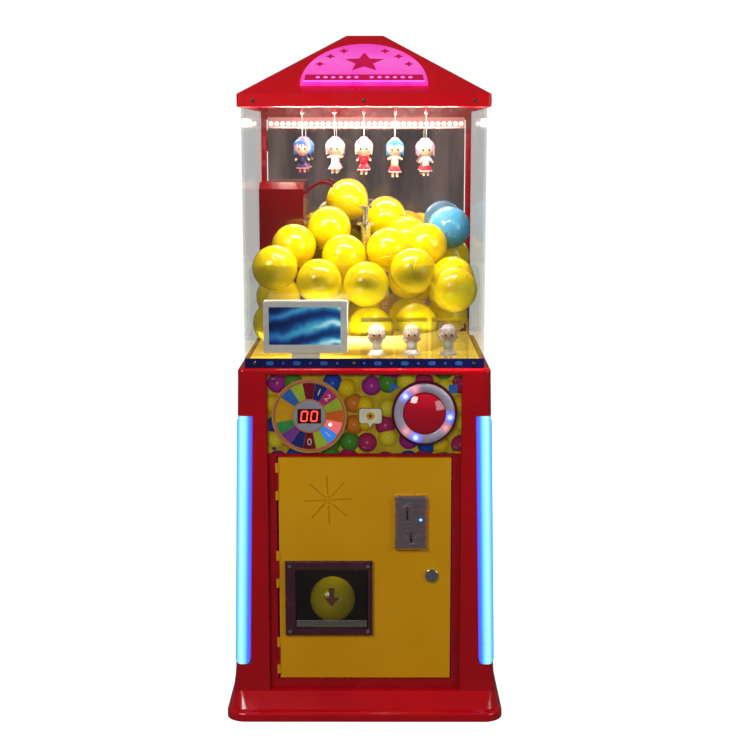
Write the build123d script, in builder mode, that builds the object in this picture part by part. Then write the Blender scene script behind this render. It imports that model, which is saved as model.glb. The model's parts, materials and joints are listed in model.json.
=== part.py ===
from build123d import *
import math
import os

os.makedirs("parts", exist_ok=True)

# ---------------------------------------------------------------- driving dimensions (mm)
CAPSULE_D = 100.0          # toy capsule
CAPSULE_WALL = 1.6
FRONT_Y = -270.0           # front face of the pillars
BACK_Y = 265.0             # outside of the back panel
BASE_X, BASE_Y = 300.0, 318.0   # half sizes of the base lip
LIP_Z = 20.0               # top of the base lip
SKIRT_Z = 52.0             # top of the base flare
PILLAR_TOP = 754.0
DECK_Z = 777.0             # play deck surface
GLASS_X = 253.0            # half width outside the glass case
GLASS_Y = 254.0            # front face of the front glass
GLASS_Z0, GLASS_Z1 = 766.0, 1318.0
EAVE_X = 262.0
EAVE_Z0, EAVE_Z1 = 1310.0, 1335.5
ROOF_TOP = 1467.0
ROOF_FLAT = 41.0
PANEL_Z0, PANEL_Z1 = 582.0, 751.5
DOOR_Z0, DOOR_Z1 = 78.5, 571.5
DOOR_X = 186.0
WHEEL = (-117.0, 663.5)
BUTTON = (127.5, 670.0)
SPEAKER = (-78.0, 479.0)
LOCK = (145.0, 311.0)
HINGE = (-188.0, -262.0)
WINDOW = (-150.0, 7.0, 193.0, 326.0)       # prize window opening: x0, x1, z0, z1
FLAP_AXIS = (-264.5, 321.0)                # y, z
ROTOR = (0.0, 40.0)
POCKET_R = 126.0
POCKET_D = 108.0
TUBE_END_R = 13.0         # rounding of the light tubes' ends
OUTLET_ANGLE = 125.0
OUTLET = (ROTOR[0] + POCKET_R * math.cos(math.radians(OUTLET_ANGLE)),
          ROTOR[1] + POCKET_R * math.sin(math.radians(OUTLET_ANGLE)))
POCKET_ANGLES = [OUTLET_ANGLE + 30 + 60 * i for i in range(6)]
GEAR_T, PINION_T, MODULE = 40, 16, 3.0
GEAR_C = MODULE * (GEAR_T + PINION_T) / 2  # centre distance

# loose capsules lying in the case
YELLOW = [(-197.1, -113.1, 965.4), (-160.5, -28.7, 1006.4), (-100.9, -113.1, 935.7),
          (-83.0, 33.5, 1043.1), (-47.3, -43.5, 984.9), (2.6, -113.1, 929.3),
          (52.5, -36.6, 998.7), (105.2, -113.1, 959.7), (197.1, -113.1, 918.4),
          (136.6, 18.2, 1006.6), (48.0, 189.1, 1056.2), (97.6, 110.5, 1017.5),
          (-45.0, 189.1, 1099.1), (197.1, -13.4, 932.6), (197.1, 165.2, 969.1),
          (-197.1, -112.0, 843.4), (100.6, 68.6, 926.0), (-68.8, 22.6, 912.0),
          (195.0, 183.0, 827.5), (-197.0, -21.0, 891.5), (195.0, 87.0, 895.5),
          (119.0, 187.0, 907.5), (-72.0, -188.0, 234.4)]
BLUE = (194.2, 94.1, 1040.8)


# ---------------------------------------------------------------- planes and small builders
def front(y):
    """Plane at the given Y; sketch axes are X and Z, extrudes towards the front."""
    return Plane.XZ.offset(-y)


def side(x):
    """Plane at the given X; sketch axes are Y and Z, extrudes towards +X."""
    return Plane.YZ.offset(x)


def level(z):
    return Plane.XY.offset(z)


def block(x0, x1, y0, y1, z0, z1, mode=Mode.ADD):
    with Locations(((x0 + x1) / 2, (y0 + y1) / 2, (z0 + z1) / 2)):
        Box(abs(x1 - x0), abs(y1 - y0), abs(z1 - z0), mode=mode)


def rod_y(x, z, y0, y1, r, mode=Mode.ADD):
    with Locations(Location((x, (y0 + y1) / 2, z), (90, 0, 0))):
        Cylinder(r, abs(y1 - y0), mode=mode)


def rod_z(x, y, z0, z1, r, mode=Mode.ADD):
    with Locations((x, y, (z0 + z1) / 2)):
        Cylinder(r, abs(z1 - z0), mode=mode)


def rod_x(y, z, x0, x1, r, mode=Mode.ADD):
    with Locations(Location(((x0 + x1) / 2, y, z), (0, 90, 0))):
        Cylinder(r, abs(x1 - x0), mode=mode)


def save(builder, name):
    builder.part.label = name
    export_step(builder.part, f"parts/{name}.step")


# outer profile of the cabinet side: a straight lean and a flare into the base
LEAN_TOP, LEAN_LOW = (268.0, PILLAR_TOP), (281.8, 114.0)
FLARE_END = (289.0, SKIRT_Z)
LEAN = (LEAN_LOW[0] - LEAN_TOP[0], LEAN_LOW[1] - LEAN_TOP[1])


def lean_x(z):
    return LEAN_TOP[0] + LEAN[0] * (LEAN_TOP[1] - z) / (LEAN_TOP[1] - LEAN_LOW[1])


# ---------------------------------------------------------------- base
with BuildPart() as base_skirt:
    with BuildSketch(level(0)):
        RectangleRounded(2 * BASE_X, 2 * BASE_Y, 42)
    extrude(amount=LIP_Z)
    fillet(base_skirt.faces().sort_by(Axis.Z)[-1].edges(), 7)
    with BuildSketch(level(8)):
        RectangleRounded(588, 612, 38)
    with BuildSketch(level(30)):
        RectangleRounded(582, 580, 32)
    with BuildSketch(level(SKIRT_Z)):
        RectangleRounded(578, 542, 24)
    loft()
    with BuildSketch(level(0)):
        RectangleRounded(556, 516, 18)
    extrude(amount=SKIRT_Z, mode=Mode.SUBTRACT)
    with BuildSketch(level(12)):
        RectangleRounded(556, 516, 18)
    extrude(amount=4)
    with Locations((230, 210, 14), (-230, 210, 14), (230, -210, 14), (-230, -210, 14)):
        Cylinder(5.4, 10, mode=Mode.SUBTRACT)
save(base_skirt, "base_skirt")

with BuildPart() as levelling_feet:
    with Locations((230, 210, 0), (-230, 210, 0), (230, -210, 0), (-230, -210, 0)):
        Cylinder(20, 9, align=(Align.CENTER, Align.CENTER, Align.MIN))
        Cylinder(9, 12, align=(Align.CENTER, Align.CENTER, Align.MIN))
        Cylinder(5, 34, align=(Align.CENTER, Align.CENTER, Align.MIN))
save(levelling_feet, "levelling_feet")

# ---------------------------------------------------------------- cabinet sides and pillars
TUBE_Z0, TUBE_Z1 = 114.0, 664.0
TUBE_W = 34.0
with BuildPart() as pillar_right:
    with BuildSketch(front(-198)):
        with BuildLine():
            Line((206.5, SKIRT_Z), (206.5, PILLAR_TOP))
            Line((206.5, PILLAR_TOP), LEAN_TOP)
            Line(LEAN_TOP, LEAN_LOW)
            TangentArc(LEAN_LOW, FLARE_END, tangent=LEAN)
            Line(FLARE_END, (206.5, SKIRT_Z))
        make_face()
    extrude(amount=72)
    fillet(pillar_right.edges().sort_by_distance((275, FRONT_Y, 400))[0], 16)
    fillet(pillar_right.edges().sort_by_distance((206.5, FRONT_Y, 400))[0], 5)
    # hollow behind the front face, open to the back
    with BuildSketch(front(-198)):
        with BuildLine():
            Polyline((209.5, 40), (209.5, 760), (232, 760), (232, 40), close=True)
        make_face()
    extrude(amount=69, mode=Mode.SUBTRACT)
    with BuildSketch(front(-198)):
        with BuildLine():
            Polyline((231, 40), (231, 760), (lean_x(760) - 3.5, 760), (lean_x(114) - 3.5, 114),
                     (lean_x(114) - 2.0, 40), close=True)
        make_face()
    extrude(amount=38, mode=Mode.SUBTRACT)
    # recess for the light tube
    with BuildSketch(front(-240.7)):
        with BuildLine():
            Polyline((lean_x(TUBE_Z0) - TUBE_W + 0.7, TUBE_Z0 - 0.4), (310, TUBE_Z0 - 0.4),
                     (310, TUBE_Z1 + 0.4), (lean_x(TUBE_Z1) - TUBE_W + 0.7, TUBE_Z1 + 0.4), close=True)
        make_face()
    extrude(amount=40, mode=Mode.SUBTRACT)
save(pillar_right, "pillar_right")

with BuildPart() as pillar_left:
    mirror(pillar_right.part, about=Plane.YZ)
save(pillar_left, "pillar_left")

with BuildPart() as tube_right:
    with BuildSketch(front(-241)):
        with BuildLine():
            Polyline((lean_x(TUBE_Z0) - TUBE_W + 1, TUBE_Z0), (lean_x(TUBE_Z0) + 1.2, TUBE_Z0),
                     (lean_x(TUBE_Z1) + 1.2, TUBE_Z1), (lean_x(TUBE_Z1) - TUBE_W + 1, TUBE_Z1), close=True)
        make_face()
    extrude(amount=32.5)
    fillet(tube_right.edges().sort_by_distance((276, -273.5, 400))[0], 15)
    fillet(tube_right.edges().sort_by_distance((242, -273.5, 400))[0], 4)
    # rounded ends
    with BuildSketch(front(-230)):
        for tz, down in ((664, -1), (114, 1)):
            for tx, inward in ((lean_x(tz) + 1.2, -1), (lean_x(tz) - 33, 1)):
                with Locations((tx + inward * TUBE_END_R / 2 - inward * 1, tz + down * TUBE_END_R / 2 - down * 1)):
                    Rectangle(TUBE_END_R + 2, TUBE_END_R + 2)
                with Locations((tx + inward * TUBE_END_R, tz + down * TUBE_END_R)):
                    Circle(TUBE_END_R, mode=Mode.SUBTRACT)
    extrude(amount=50, mode=Mode.SUBTRACT)
with BuildPart() as light_tubes:
    add(tube_right.part)
    mirror(tube_right.part, about=Plane.YZ)
save(light_tubes, "light_tubes")

with BuildPart() as side_panel_right:
    with BuildSketch(front(262)):
        with BuildLine():
            Line((LEAN_TOP[0] - 5, PILLAR_TOP), (LEAN_TOP[0] - 2, PILLAR_TOP))
            Line((LEAN_TOP[0] - 2, PILLAR_TOP), (LEAN_LOW[0] - 2, LEAN_LOW[1]))
            TangentArc((LEAN_LOW[0] - 2, LEAN_LOW[1]), (FLARE_END[0] - 2, SKIRT_Z), tangent=LEAN)
            Line((FLARE_END[0] - 2, SKIRT_Z), (FLARE_END[0] - 5, SKIRT_Z))
            TangentArc((LEAN_LOW[0] - 5, LEAN_LOW[1]), (FLARE_END[0] - 5, SKIRT_Z), tangent=LEAN)
            Line((LEAN_LOW[0] - 5, LEAN_LOW[1]), (LEAN_TOP[0] - 5, PILLAR_TOP))
        make_face()
    extrude(amount=460)
save(side_panel_right, "side_panel_right")

with BuildPart() as side_panel_left:
    mirror(side_panel_right.part, about=Plane.YZ)
save(side_panel_left, "side_panel_left")

with BuildPart() as vent_hood:
    # sloped hood over the cooling slots, widest at its lower edge
    with BuildSketch(front(-60)):
        with BuildLine():
            Polyline((lean_x(250) - 2, 250), (lean_x(250) + 2, 249), (lean_x(180) + 10, 180),
                     (lean_x(176) + 10, 175), (lean_x(175) - 2, 175), close=True)
        make_face()
    extrude(amount=90)
    with BuildSketch(front(-64)):
        with BuildLine():
            Polyline((lean_x(246) - 2, 244), (lean_x(180) + 7, 180), (lean_x(176) + 7, 170),
                     (lean_x(170) - 2, 170), close=True)
        make_face()
    extrude(amount=82, mode=Mode.SUBTRACT)
save(vent_hood, "vent_hood")

with BuildPart() as back_panel:
    with BuildSketch(front(BACK_Y)):
        with BuildLine():
            Line((-LEAN_TOP[0] + 2, PILLAR_TOP), (LEAN_TOP[0] - 2, PILLAR_TOP))
            Line((LEAN_TOP[0] - 2, PILLAR_TOP), (LEAN_LOW[0] - 2, LEAN_LOW[1]))
            TangentArc((LEAN_LOW[0] - 2, LEAN_LOW[1]), (FLARE_END[0] - 2, SKIRT_Z), tangent=LEAN)
            Line((FLARE_END[0] - 2, SKIRT_Z), (-FLARE_END[0] + 2, SKIRT_Z))
            TangentArc((-LEAN_LOW[0] + 2, LEAN_LOW[1]), (-FLARE_END[0] + 2, SKIRT_Z), tangent=(-LEAN[0], LEAN[1]))
            Line((-LEAN_LOW[0] + 2, LEAN_LOW[1]), (-LEAN_TOP[0] + 2, PILLAR_TOP))
        make_face()
    extrude(amount=3)
    # ventilation slots
    with BuildSketch(front(BACK_Y + 1)):
        with GridLocations(70, 14, 3, 6):
            with Locations((0, 620)):
                SlotOverall(50, 5)
    extrude(amount=6, mode=Mode.SUBTRACT)
    block(-204, -156, 255, 275, 126, 154, mode=Mode.SUBTRACT)
save(back_panel, "back_panel")

with BuildPart() as power_inlet:
    with BuildSketch(front(BACK_Y + 3)):
        with Locations((-180, 140)):
            RectangleRounded(64, 32, 4)
    extrude(amount=3)
    block(-203.5, -156.5, 244, BACK_Y, 126.5, 153.5)
    block(-192.5, -167.5, 249, 270, 131.5, 148.5, mode=Mode.SUBTRACT)
    for px, pz in ((-187, 138), (-173, 138), (-180, 143.5)):
        block(px - 1, px + 1, 247, 264, pz - 2.4, pz + 2.4)
save(power_inlet, "power_inlet")

with BuildPart() as shoulder_frame:
    with BuildSketch(level(PILLAR_TOP)):
        RectangleRounded(536, 538, 12)
    extrude(amount=12)
    fillet(shoulder_frame.faces().sort_by(Axis.Z)[-1].edges(), 7)
    block(-236, 236, -232, 232, 740, 780, mode=Mode.SUBTRACT)
save(shoulder_frame, "shoulder_frame")

PANEL_SCREWS = [(-193, 740.5), (0, 740.5), (193, 740.5), (-193, 593), (0, 593), (193, 593)]
STRIP_SCREWS = [(-232, 776), (-22, 776), (232, 776)]
EAVE_SCREWS = [(-228, 1322), (0, 1322), (228, 1322)]

with BuildPart() as front_frame:
    block(-206, 206, -258, -255, 16, PILLAR_TOP)
    block(-188.5, 188.5, -262, -250, 76, 574, mode=Mode.SUBTRACT)
    block(-198, 198, -262, -250, 600, 733, mode=Mode.SUBTRACT)
    for x, z in PANEL_SCREWS:
        rod_y(x, z, -262, -250, 2.05, mode=Mode.SUBTRACT)
save(front_frame, "front_frame")

with BuildPart() as control_panel:
    block(-206, 206, -261, -258, PANEL_Z0, PANEL_Z1)
    rod_y(BUTTON[0], BUTTON[1], -270, -250, 54.2, mode=Mode.SUBTRACT)
    block(WHEEL[0] - 26, WHEEL[0] + 26, -270, -250, WHEEL[1] - 16.5, WHEEL[1] + 16.5, mode=Mode.SUBTRACT)
    for x, z in PANEL_SCREWS:
        rod_y(x, z, -270, -250, 2.05, mode=Mode.SUBTRACT)
save(control_panel, "control_panel")

with BuildPart() as name_strip:
    block(-GLASS_X, GLASS_X, -257, -GLASS_Y, GLASS_Z0, 786)
    fillet(name_strip.edges().filter_by(Axis.X).group_by(Axis.Y)[0], 1)
    for x, z in STRIP_SCREWS:
        rod_y(x, z, -260, -250, 1.55, mode=Mode.SUBTRACT)
save(name_strip, "name_strip")

with BuildPart() as trim_screws:
    for x, z in PANEL_SCREWS:
        rod_y(x, z, -263.4, -261, 4)
        rod_y(x, z, -261.5, -250.5, 2)
    for x, z in STRIP_SCREWS:
        rod_y(x, z, -259, -257, 3.2)
        rod_y(x, z, -257.5, -254, 1.5)
    for x, z in EAVE_SCREWS:
        rod_y(x, z, -264.4, -EAVE_X, 4)
        rod_y(x, z, -262.5, -259, 2)
    for s in (-1, 1):
        for y in (-228, 0, 228):
            rod_x(y, 1322, s * EAVE_X, s * (EAVE_X + 2.4), 4)
            rod_x(y, 1322, s * 259, s * (EAVE_X + 0.5), 2)
    for head_y in (-263.4, -259.0, -264.4):
        fillet(trim_screws.edges().filter_by(GeomType.CIRCLE).filter_by(
            lambda e: abs(e.center().Y - head_y) < 0.01 and e.radius > 3), 1.1)
save(trim_screws, "trim_screws")

# ---------------------------------------------------------------- number wheel, display and start button
with BuildPart() as wheel_disc:
    with BuildSketch(front(-261)):
        with Locations(WHEEL):
            Circle(80)
            Rectangle(52, 33, mode=Mode.SUBTRACT)
    extrude(amount=3)
    with BuildSketch(front(-264)):
        with Locations(WHEEL):
            Circle(80)
            Circle(75, mode=Mode.SUBTRACT)
    extrude(amount=2)
    with BuildSketch(front(-264)):
        with Locations(WHEEL):
            Circle(36)
            Rectangle(52, 33, mode=Mode.SUBTRACT)
    extrude(amount=1.2)
save(wheel_disc, "wheel_disc")

with BuildPart() as display_body:
    block(WHEEL[0] - 25.5, WHEEL[0] + 25.5, -266, -240, WHEEL[1] - 16, WHEEL[1] + 16)
    fillet(display_body.faces().sort_by(Axis.Y)[0].edges(), 1.2)
    block(WHEEL[0] - 32, WHEEL[0] + 32, -240, -237, WHEEL[1] - 24, WHEEL[1] + 24)

button_axis = Plane(origin=(BUTTON[0], 0, BUTTON[1]), x_dir=(1, 0, 0), z_dir=(0, -1, 0))
# profiles are drawn in a plane that holds the button axis: local x is radius, local y is -Y
button_profile = Plane(origin=(BUTTON[0], 0, BUTTON[1]), x_dir=(1, 0, 0), z_dir=(0, 0, 1))
with BuildPart() as button_bezel:
    with BuildSketch(button_profile):
        with BuildLine():
            Polyline((64.8, -261), (70, -261), (70, -265), (67.8, -268.6), (64.8, -269.4), close=True)
        make_face()
        with BuildLine():
            Polyline((46, -261), (64.8, -261), (64.8, -263.4), (46, -263.4), close=True)
        make_face()
        with BuildLine():
            Polyline((46, -262), (54, -262), (54, -226), (46, -226), close=True)
        make_face()
    revolve(axis=Axis((BUTTON[0], 0, BUTTON[1]), (0, 1, 0)))
save(button_bezel, "button_bezel")

with BuildPart() as button_led_ring:
    with BuildSketch(button_profile):
        with BuildLine():
            Line((45.5, -263.4), (64.6, -263.4))
            Line((64.6, -263.4), (64.6, -268.5))
            ThreePointArc((64.6, -268.5), (55, -271.6), (45.5, -269))
            Line((45.5, -269), (45.5, -263.4))
        make_face()
    revolve(axis=Axis((BUTTON[0], 0, BUTTON[1]), (0, 1, 0)))
save(button_led_ring, "button_led_ring")

CROWN_R = (43.6 ** 2 + 13 ** 2) / 26       # spherical crown, 13 high over a 43.6 radius
CROWN_Y = -284 + CROWN_R
CROWN_IN = CROWN_R - 3.4


def crown(radius, x):
    return (x, CROWN_Y - math.sqrt(radius ** 2 - x ** 2))


with BuildPart() as button_dome:
    with BuildSketch(button_profile):
        with BuildLine():
            Line((41, -246), (45.2, -246))
            Line((45.2, -246), (45.2, -249))
            Line((45.2, -249), (43.6, -249))
            Line((43.6, -249), (43.6, -271))
            ThreePointArc((43.6, -271), crown(CROWN_R, 22), (0, -284))
            Line((0, -284), (0, -280.6))
            ThreePointArc((0, -280.6), crown(CROWN_IN, 20), crown(CROWN_IN, 41))
            Line(crown(CROWN_IN, 41), (41, -246))
        make_face()
    revolve(axis=Axis((BUTTON[0], 0, BUTTON[1]), (0, 1, 0)))
save(button_dome, "button_dome")

with BuildPart() as panel_modules:
    # two-digit display, and the carrier that closes the button's barrel with its plunger and microswitch
    add(display_body.part)
    rod_y(BUTTON[0], BUTTON[1], -226, -223, 54)
    block(BUTTON[0] - 14, BUTTON[0] + 14, -223, -207, BUTTON[1] - 8, BUTTON[1] + 8)
    rod_y(BUTTON[0], BUTTON[1], -240, -225, 12)
save(panel_modules, "panel_modules")

# ---------------------------------------------------------------- door and what it carries
KNUCKLE = [(110, 150), (305, 345), (500, 540)]     # fixed knuckle heights
with BuildPart() as door_panel:
    block(-184.5, DOOR_X, -260, -257.5, DOOR_Z0, DOOR_Z1)
    block(-184.5, -182.5, -257.5, -248, DOOR_Z0, DOOR_Z1)
    block(DOOR_X - 2, DOOR_X, -257.5, -248, DOOR_Z0, DOOR_Z1)
    block(-184.5, DOOR_X, -257.5, -248, DOOR_Z0, DOOR_Z0 + 2)
    block(-184.5, DOOR_X, -257.5, -248, DOOR_Z1 - 2, DOOR_Z1)
    for z0, z1 in KNUCKLE:
        for a, b in ((z0 - 20.4, z0 - 0.4), (z1 + 0.4, z1 + 20.4)):
            rod_z(HINGE[0], HINGE[1], a, b, 3)
            block(HINGE[0], -184, -261.5, -259.2, a, b)
            block(-185.5, -182.5, -261.5, -257.5, a, b)
            rod_z(HINGE[0], HINGE[1], a - 1, b + 1, 1.56, mode=Mode.SUBTRACT)
    block(WINDOW[0], WINDOW[1], -265, -250, WINDOW[2], WINDOW[3], mode=Mode.SUBTRACT)
    block(69, 131, -265, -250, 378, 474, mode=Mode.SUBTRACT)
    rod_y(LOCK[0], LOCK[1], -265, -250, 9.6, mode=Mode.SUBTRACT)
    # speaker grille: a centre hole, a small ring and eight rays of holes
    with BuildSketch(front(-250)):
        with Locations(SPEAKER):
            Circle(1.4)
            with PolarLocations(7.5, 8):
                Circle(1.3)
            for i in range(7):
                with PolarLocations(15 + 6 * i, 8, start_angle=3):
                    Circle(1.4)
    extrude(amount=20, mode=Mode.SUBTRACT)
save(door_panel, "door_panel")

with BuildPart() as door_hinge:
    for z0, z1 in KNUCKLE:
        rod_z(HINGE[0], HINGE[1], z0, z1, 3)
        block(-188.3, -186.9, -261, -253.4, z0, z1)
        block(-206, -186.9, -254.9, -253.4, z0, z1)
        rod_z(HINGE[0], HINGE[1], z0 - 19, z1 + 19, 1.5)
save(door_hinge, "door_hinge")

with BuildPart() as prize_frame:
    block(-172, 17, -268, -260, 178, 344)
    fillet(prize_frame.faces().sort_by(Axis.Y)[0].edges(), 2.5)
    block(WINDOW[0], WINDOW[1], -270, -255, WINDOW[2], WINDOW[3], mode=Mode.SUBTRACT)
    rod_x(FLAP_AXIS[0], FLAP_AXIS[1], -155, 12, 1.56, mode=Mode.SUBTRACT)
save(prize_frame, "prize_frame")

with BuildPart() as prize_flap:
    block(-148, 5, -266, -263, 196, 320)
    rod_x(FLAP_AXIS[0], FLAP_AXIS[1], -148, 5, 3)
    rod_x(FLAP_AXIS[0], FLAP_AXIS[1], -154, 11, 1.5)
save(prize_flap, "prize_flap")

with BuildPart() as flap_grip:
    block(-148, 5, -268.5, -266, 197, 212)
    fillet(flap_grip.faces().sort_by(Axis.Y)[0].edges(), 1)
save(flap_grip, "flap_grip")

with BuildPart() as door_fittings:
    # lock escutcheon, four prize frame screws, four coin plate screws
    rod_y(LOCK[0], LOCK[1], -264.5, -260, 15)
    fillet(door_fittings.faces().sort_by(Axis.Y)[0].edges(), 2)
    rod_y(LOCK[0], LOCK[1], -270, -250, 9.05, mode=Mode.SUBTRACT)
    for x, z in ((-162, 334), (7.5, 334), (-162, 187), (7.5, 187)):
        rod_y(x, z, -270, -268, 4)
    for x, z in ((70.5, 474), (129, 474), (70.5, 379), (129, 379)):
        rod_y(x, z, -272.8, -271, 3)
save(door_fittings, "door_fittings")

with BuildPart() as door_lock:
    rod_y(LOCK[0], LOCK[1], -265.5, -243, 9)
    block(LOCK[0] - 1, LOCK[0] + 1, -268, -263.5, LOCK[1] - 5, LOCK[1] + 5, mode=Mode.SUBTRACT)
    rod_y(LOCK[0], LOCK[1], -246, -243, 9.5)
    block(LOCK[0] - 8, LOCK[0] + 8, -246, -243, LOCK[1] - 52, LOCK[1])
save(door_lock, "door_lock")

with BuildPart() as speaker:
    with BuildSketch(Plane(origin=(SPEAKER[0], 0, SPEAKER[1]), x_dir=(1, 0, 0), z_dir=(0, 0, 1))):
        with BuildLine():
            Polyline((0, -234), (0, -212), (30, -212), (30, -224), (24, -226), (52, -250), (58, -250),
                     (58, -257.5), (50, -257.5), (44, -252), (16, -236), (0, -236), close=True)
        make_face()
    revolve(axis=Axis((SPEAKER[0], 0, SPEAKER[1]), (0, 1, 0)))
save(speaker, "speaker")

COIN_X, COIN_Z = 99.75, 426.5
with BuildPart() as coin_acceptor:
    with BuildSketch(front(-260)):
        with Locations((COIN_X, 430)):
            RectangleRounded(69, 120, 5)
    extrude(amount=11)
    chamfer(coin_acceptor.faces().sort_by(Axis.Y)[0].edges(), 4.5)
    block(71, 129, -260, -205, 382, 470)
    # escutcheon around the coin slot
    with BuildSketch(front(-271)):
        with Locations((COIN_X - 8, 452)):
            Ellipse(12.5, 19)
    extrude(amount=2.5)
    block(COIN_X - 10.25, COIN_X - 5.75, -280, -240, 438.5, 465.5, mode=Mode.SUBTRACT)
    # reject bar opening
    block(COIN_X - 19.5, COIN_X + 3.5, -280, -262, 421, 428, mode=Mode.SUBTRACT)
    # return cup: a notch with a slot in it
    with BuildSketch(front(-266)):
        with BuildLine():
            Polyline((COIN_X - 22, 410), (COIN_X + 22, 410), (COIN_X + 10, 398), (COIN_X + 6, 384),
                     (COIN_X - 6, 384), (COIN_X - 10, 398), close=True)
        make_face()
    extrude(amount=10, mode=Mode.SUBTRACT)
    block(COIN_X - 2.5, COIN_X + 2.5, -270, -235, 386, 408, mode=Mode.SUBTRACT)
    rod_y(COIN_X + 21, 438, -275, -268, 3, mode=Mode.SUBTRACT)
save(coin_acceptor, "coin_acceptor")

with BuildPart() as reject_button:
    block(COIN_X - 19, COIN_X + 3, -275, -262.5 - 3.5, 421.5, 427.5)
    fillet(reject_button.faces().sort_by(Axis.Y)[0].edges(), 1.2)
save(reject_button, "reject_button")

# ---------------------------------------------------------------- glass case
with BuildPart() as front_glass:
    block(-GLASS_X, GLASS_X, -GLASS_Y, -GLASS_Y + 5, GLASS_Z0, GLASS_Z1)
save(front_glass, "front_glass")

with BuildPart() as side_glasses:
    block(GLASS_X - 5, GLASS_X, -GLASS_Y + 5, 240, GLASS_Z0, GLASS_Z1)
    block(-GLASS_X, -GLASS_X + 5, -GLASS_Y + 5, 240, GLASS_Z0, GLASS_Z1)
save(side_glasses, "side_glasses")

REAR_HINGE = (-240.0, 257.0)
with BuildPart() as rear_frame:
    block(-GLASS_X, GLASS_X, 240, 252, GLASS_Z0, GLASS_Z1)
    block(-240, 240, 230, 260, 786, 1290, mode=Mode.SUBTRACT)
    for z in (850, 1230):
        rod_z(REAR_HINGE[0], REAR_HINGE[1], z - 15, z + 15, 4)
        block(-248, -241, 252, 257, z - 15, z + 15)
        rod_z(REAR_HINGE[0], REAR_HINGE[1], z - 20, z + 20, 2.06, mode=Mode.SUBTRACT)
save(rear_frame, "rear_frame")

with BuildPart() as rear_door:
    block(-237.5, 237.5, 246, 251, 788.5, 1287.5)
    for z in (850, 1230):
        rod_z(REAR_HINGE[0], REAR_HINGE[1], z + 15.5, z + 35, 4)
        block(-240, -228, 253, 255.5, z + 15.5, z + 35)
        block(-236.5, -228, 250.5, 254, z + 15.5, z + 35)
        rod_z(REAR_HINGE[0], REAR_HINGE[1], z - 14, z + 35, 2)
    # pull knob
    rod_y(222, 1040, 251, 268, 8)
    rod_y(222, 1040, 262, 268, 12)
save(rear_door, "rear_door")

with BuildPart() as roof_canopy:
    with BuildSketch(level(EAVE_Z0)):
        RectangleRounded(2 * EAVE_X, 2 * EAVE_X, 7)
    extrude(amount=EAVE_Z1 - EAVE_Z0)
    with BuildSketch(level(EAVE_Z1)):
        RectangleRounded(2 * EAVE_X, 2 * EAVE_X, 7)
    with BuildSketch(level(ROOF_TOP)):
        RectangleRounded(2 * ROOF_FLAT, 2 * ROOF_FLAT, 7)
    loft(ruled=True)
    block(-259, 259, -259, 259, EAVE_Z0 - 5, 1322, mode=Mode.SUBTRACT)
    with BuildSketch(level(1322)):
        Rectangle(512, 512)
    with BuildSketch(level(1335.5)):
        Rectangle(512, 512)
    loft(ruled=True, mode=Mode.SUBTRACT)
    with BuildSketch(level(1335.5)):
        Rectangle(512, 512)
    with BuildSketch(level(ROOF_TOP - 4)):
        Rectangle(76, 76)
    loft(ruled=True, mode=Mode.SUBTRACT)
    for x, z in EAVE_SCREWS:
        rod_y(x, z, -270, -255, 2.05, mode=Mode.SUBTRACT)
    for s in (-1, 1):
        for y in (-228, 0, 228):
            rod_x(y, 1322, s * 255, s * 270, 2.05, mode=Mode.SUBTRACT)
save(roof_canopy, "roof_canopy")

SLOPE = math.atan2(ROOF_TOP - EAVE_Z1, EAVE_X - ROOF_FLAT)
roof_slope = Plane(origin=(0, -EAVE_X, EAVE_Z1), x_dir=(1, 0, 0),
                   z_dir=(0, -math.sin(SLOPE), math.cos(SLOPE)))
with BuildPart() as sign_lens:
    # arched sign lying on the front slope of the roof
    with BuildSketch(roof_slope):
        with Locations((0, 33)):
            Ellipse(132, 170)
            with Locations((0, -100)):
                Rectangle(300, 200, mode=Mode.SUBTRACT)
    extrude(amount=9)
    fillet(sign_lens.faces().sort_by(SortBy.AREA)[-1].edges(), 2.5)
save(sign_lens, "sign_lens")

with BuildPart() as ceiling_panel:
    block(-258.7, 258.7, -258.7, 258.7, GLASS_Z1, 1322)
    # eyelets that the toys hang from
    for x in (-150, -74, -5, 69, 142):
        with Locations(Location((x, 165, 1312.2), (0, 90, 0))):
            Torus(4.2, 1.2)
        rod_z(x, 165, 1316.2, 1320, 1.7)
save(ceiling_panel, "ceiling_panel")

with BuildPart() as led_strip:
    block(-236, 236, 233, 240, 1270, 1296)
    with Locations(*[Location((-228 + 456 / 33 * i, 233, 1281), (90, 0, 0)) for i in range(34)]):
        Cylinder(4, 3, align=(Align.CENTER, Align.CENTER, Align.MIN))
save(led_strip, "led_strip")

with BuildPart() as clear_guards:
    # clear sheet that keeps the capsules off the display ledge
    block(-247.7, 247.7, -167, -164, DECK_Z, 975)
    fillet(clear_guards.edges().filter_by(Axis.Y).group_by(Axis.Z)[-1], 12)
    # clear sheet in front of the outlet
    block(-143.8, -5, 84.5, 87.5, 880, 1105)
save(clear_guards, "clear_guards")

with BuildPart() as deck_plate:
    block(-247.7, 247.7, -248.7, 239.7, GLASS_Z0, DECK_Z)
    rod_z(OUTLET[0], OUTLET[1], 760, 780, 55, mode=Mode.SUBTRACT)
    rod_z(ROTOR[0], ROTOR[1], 760, 780, 11.57, mode=Mode.SUBTRACT)
save(deck_plate, "deck_plate")

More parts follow.
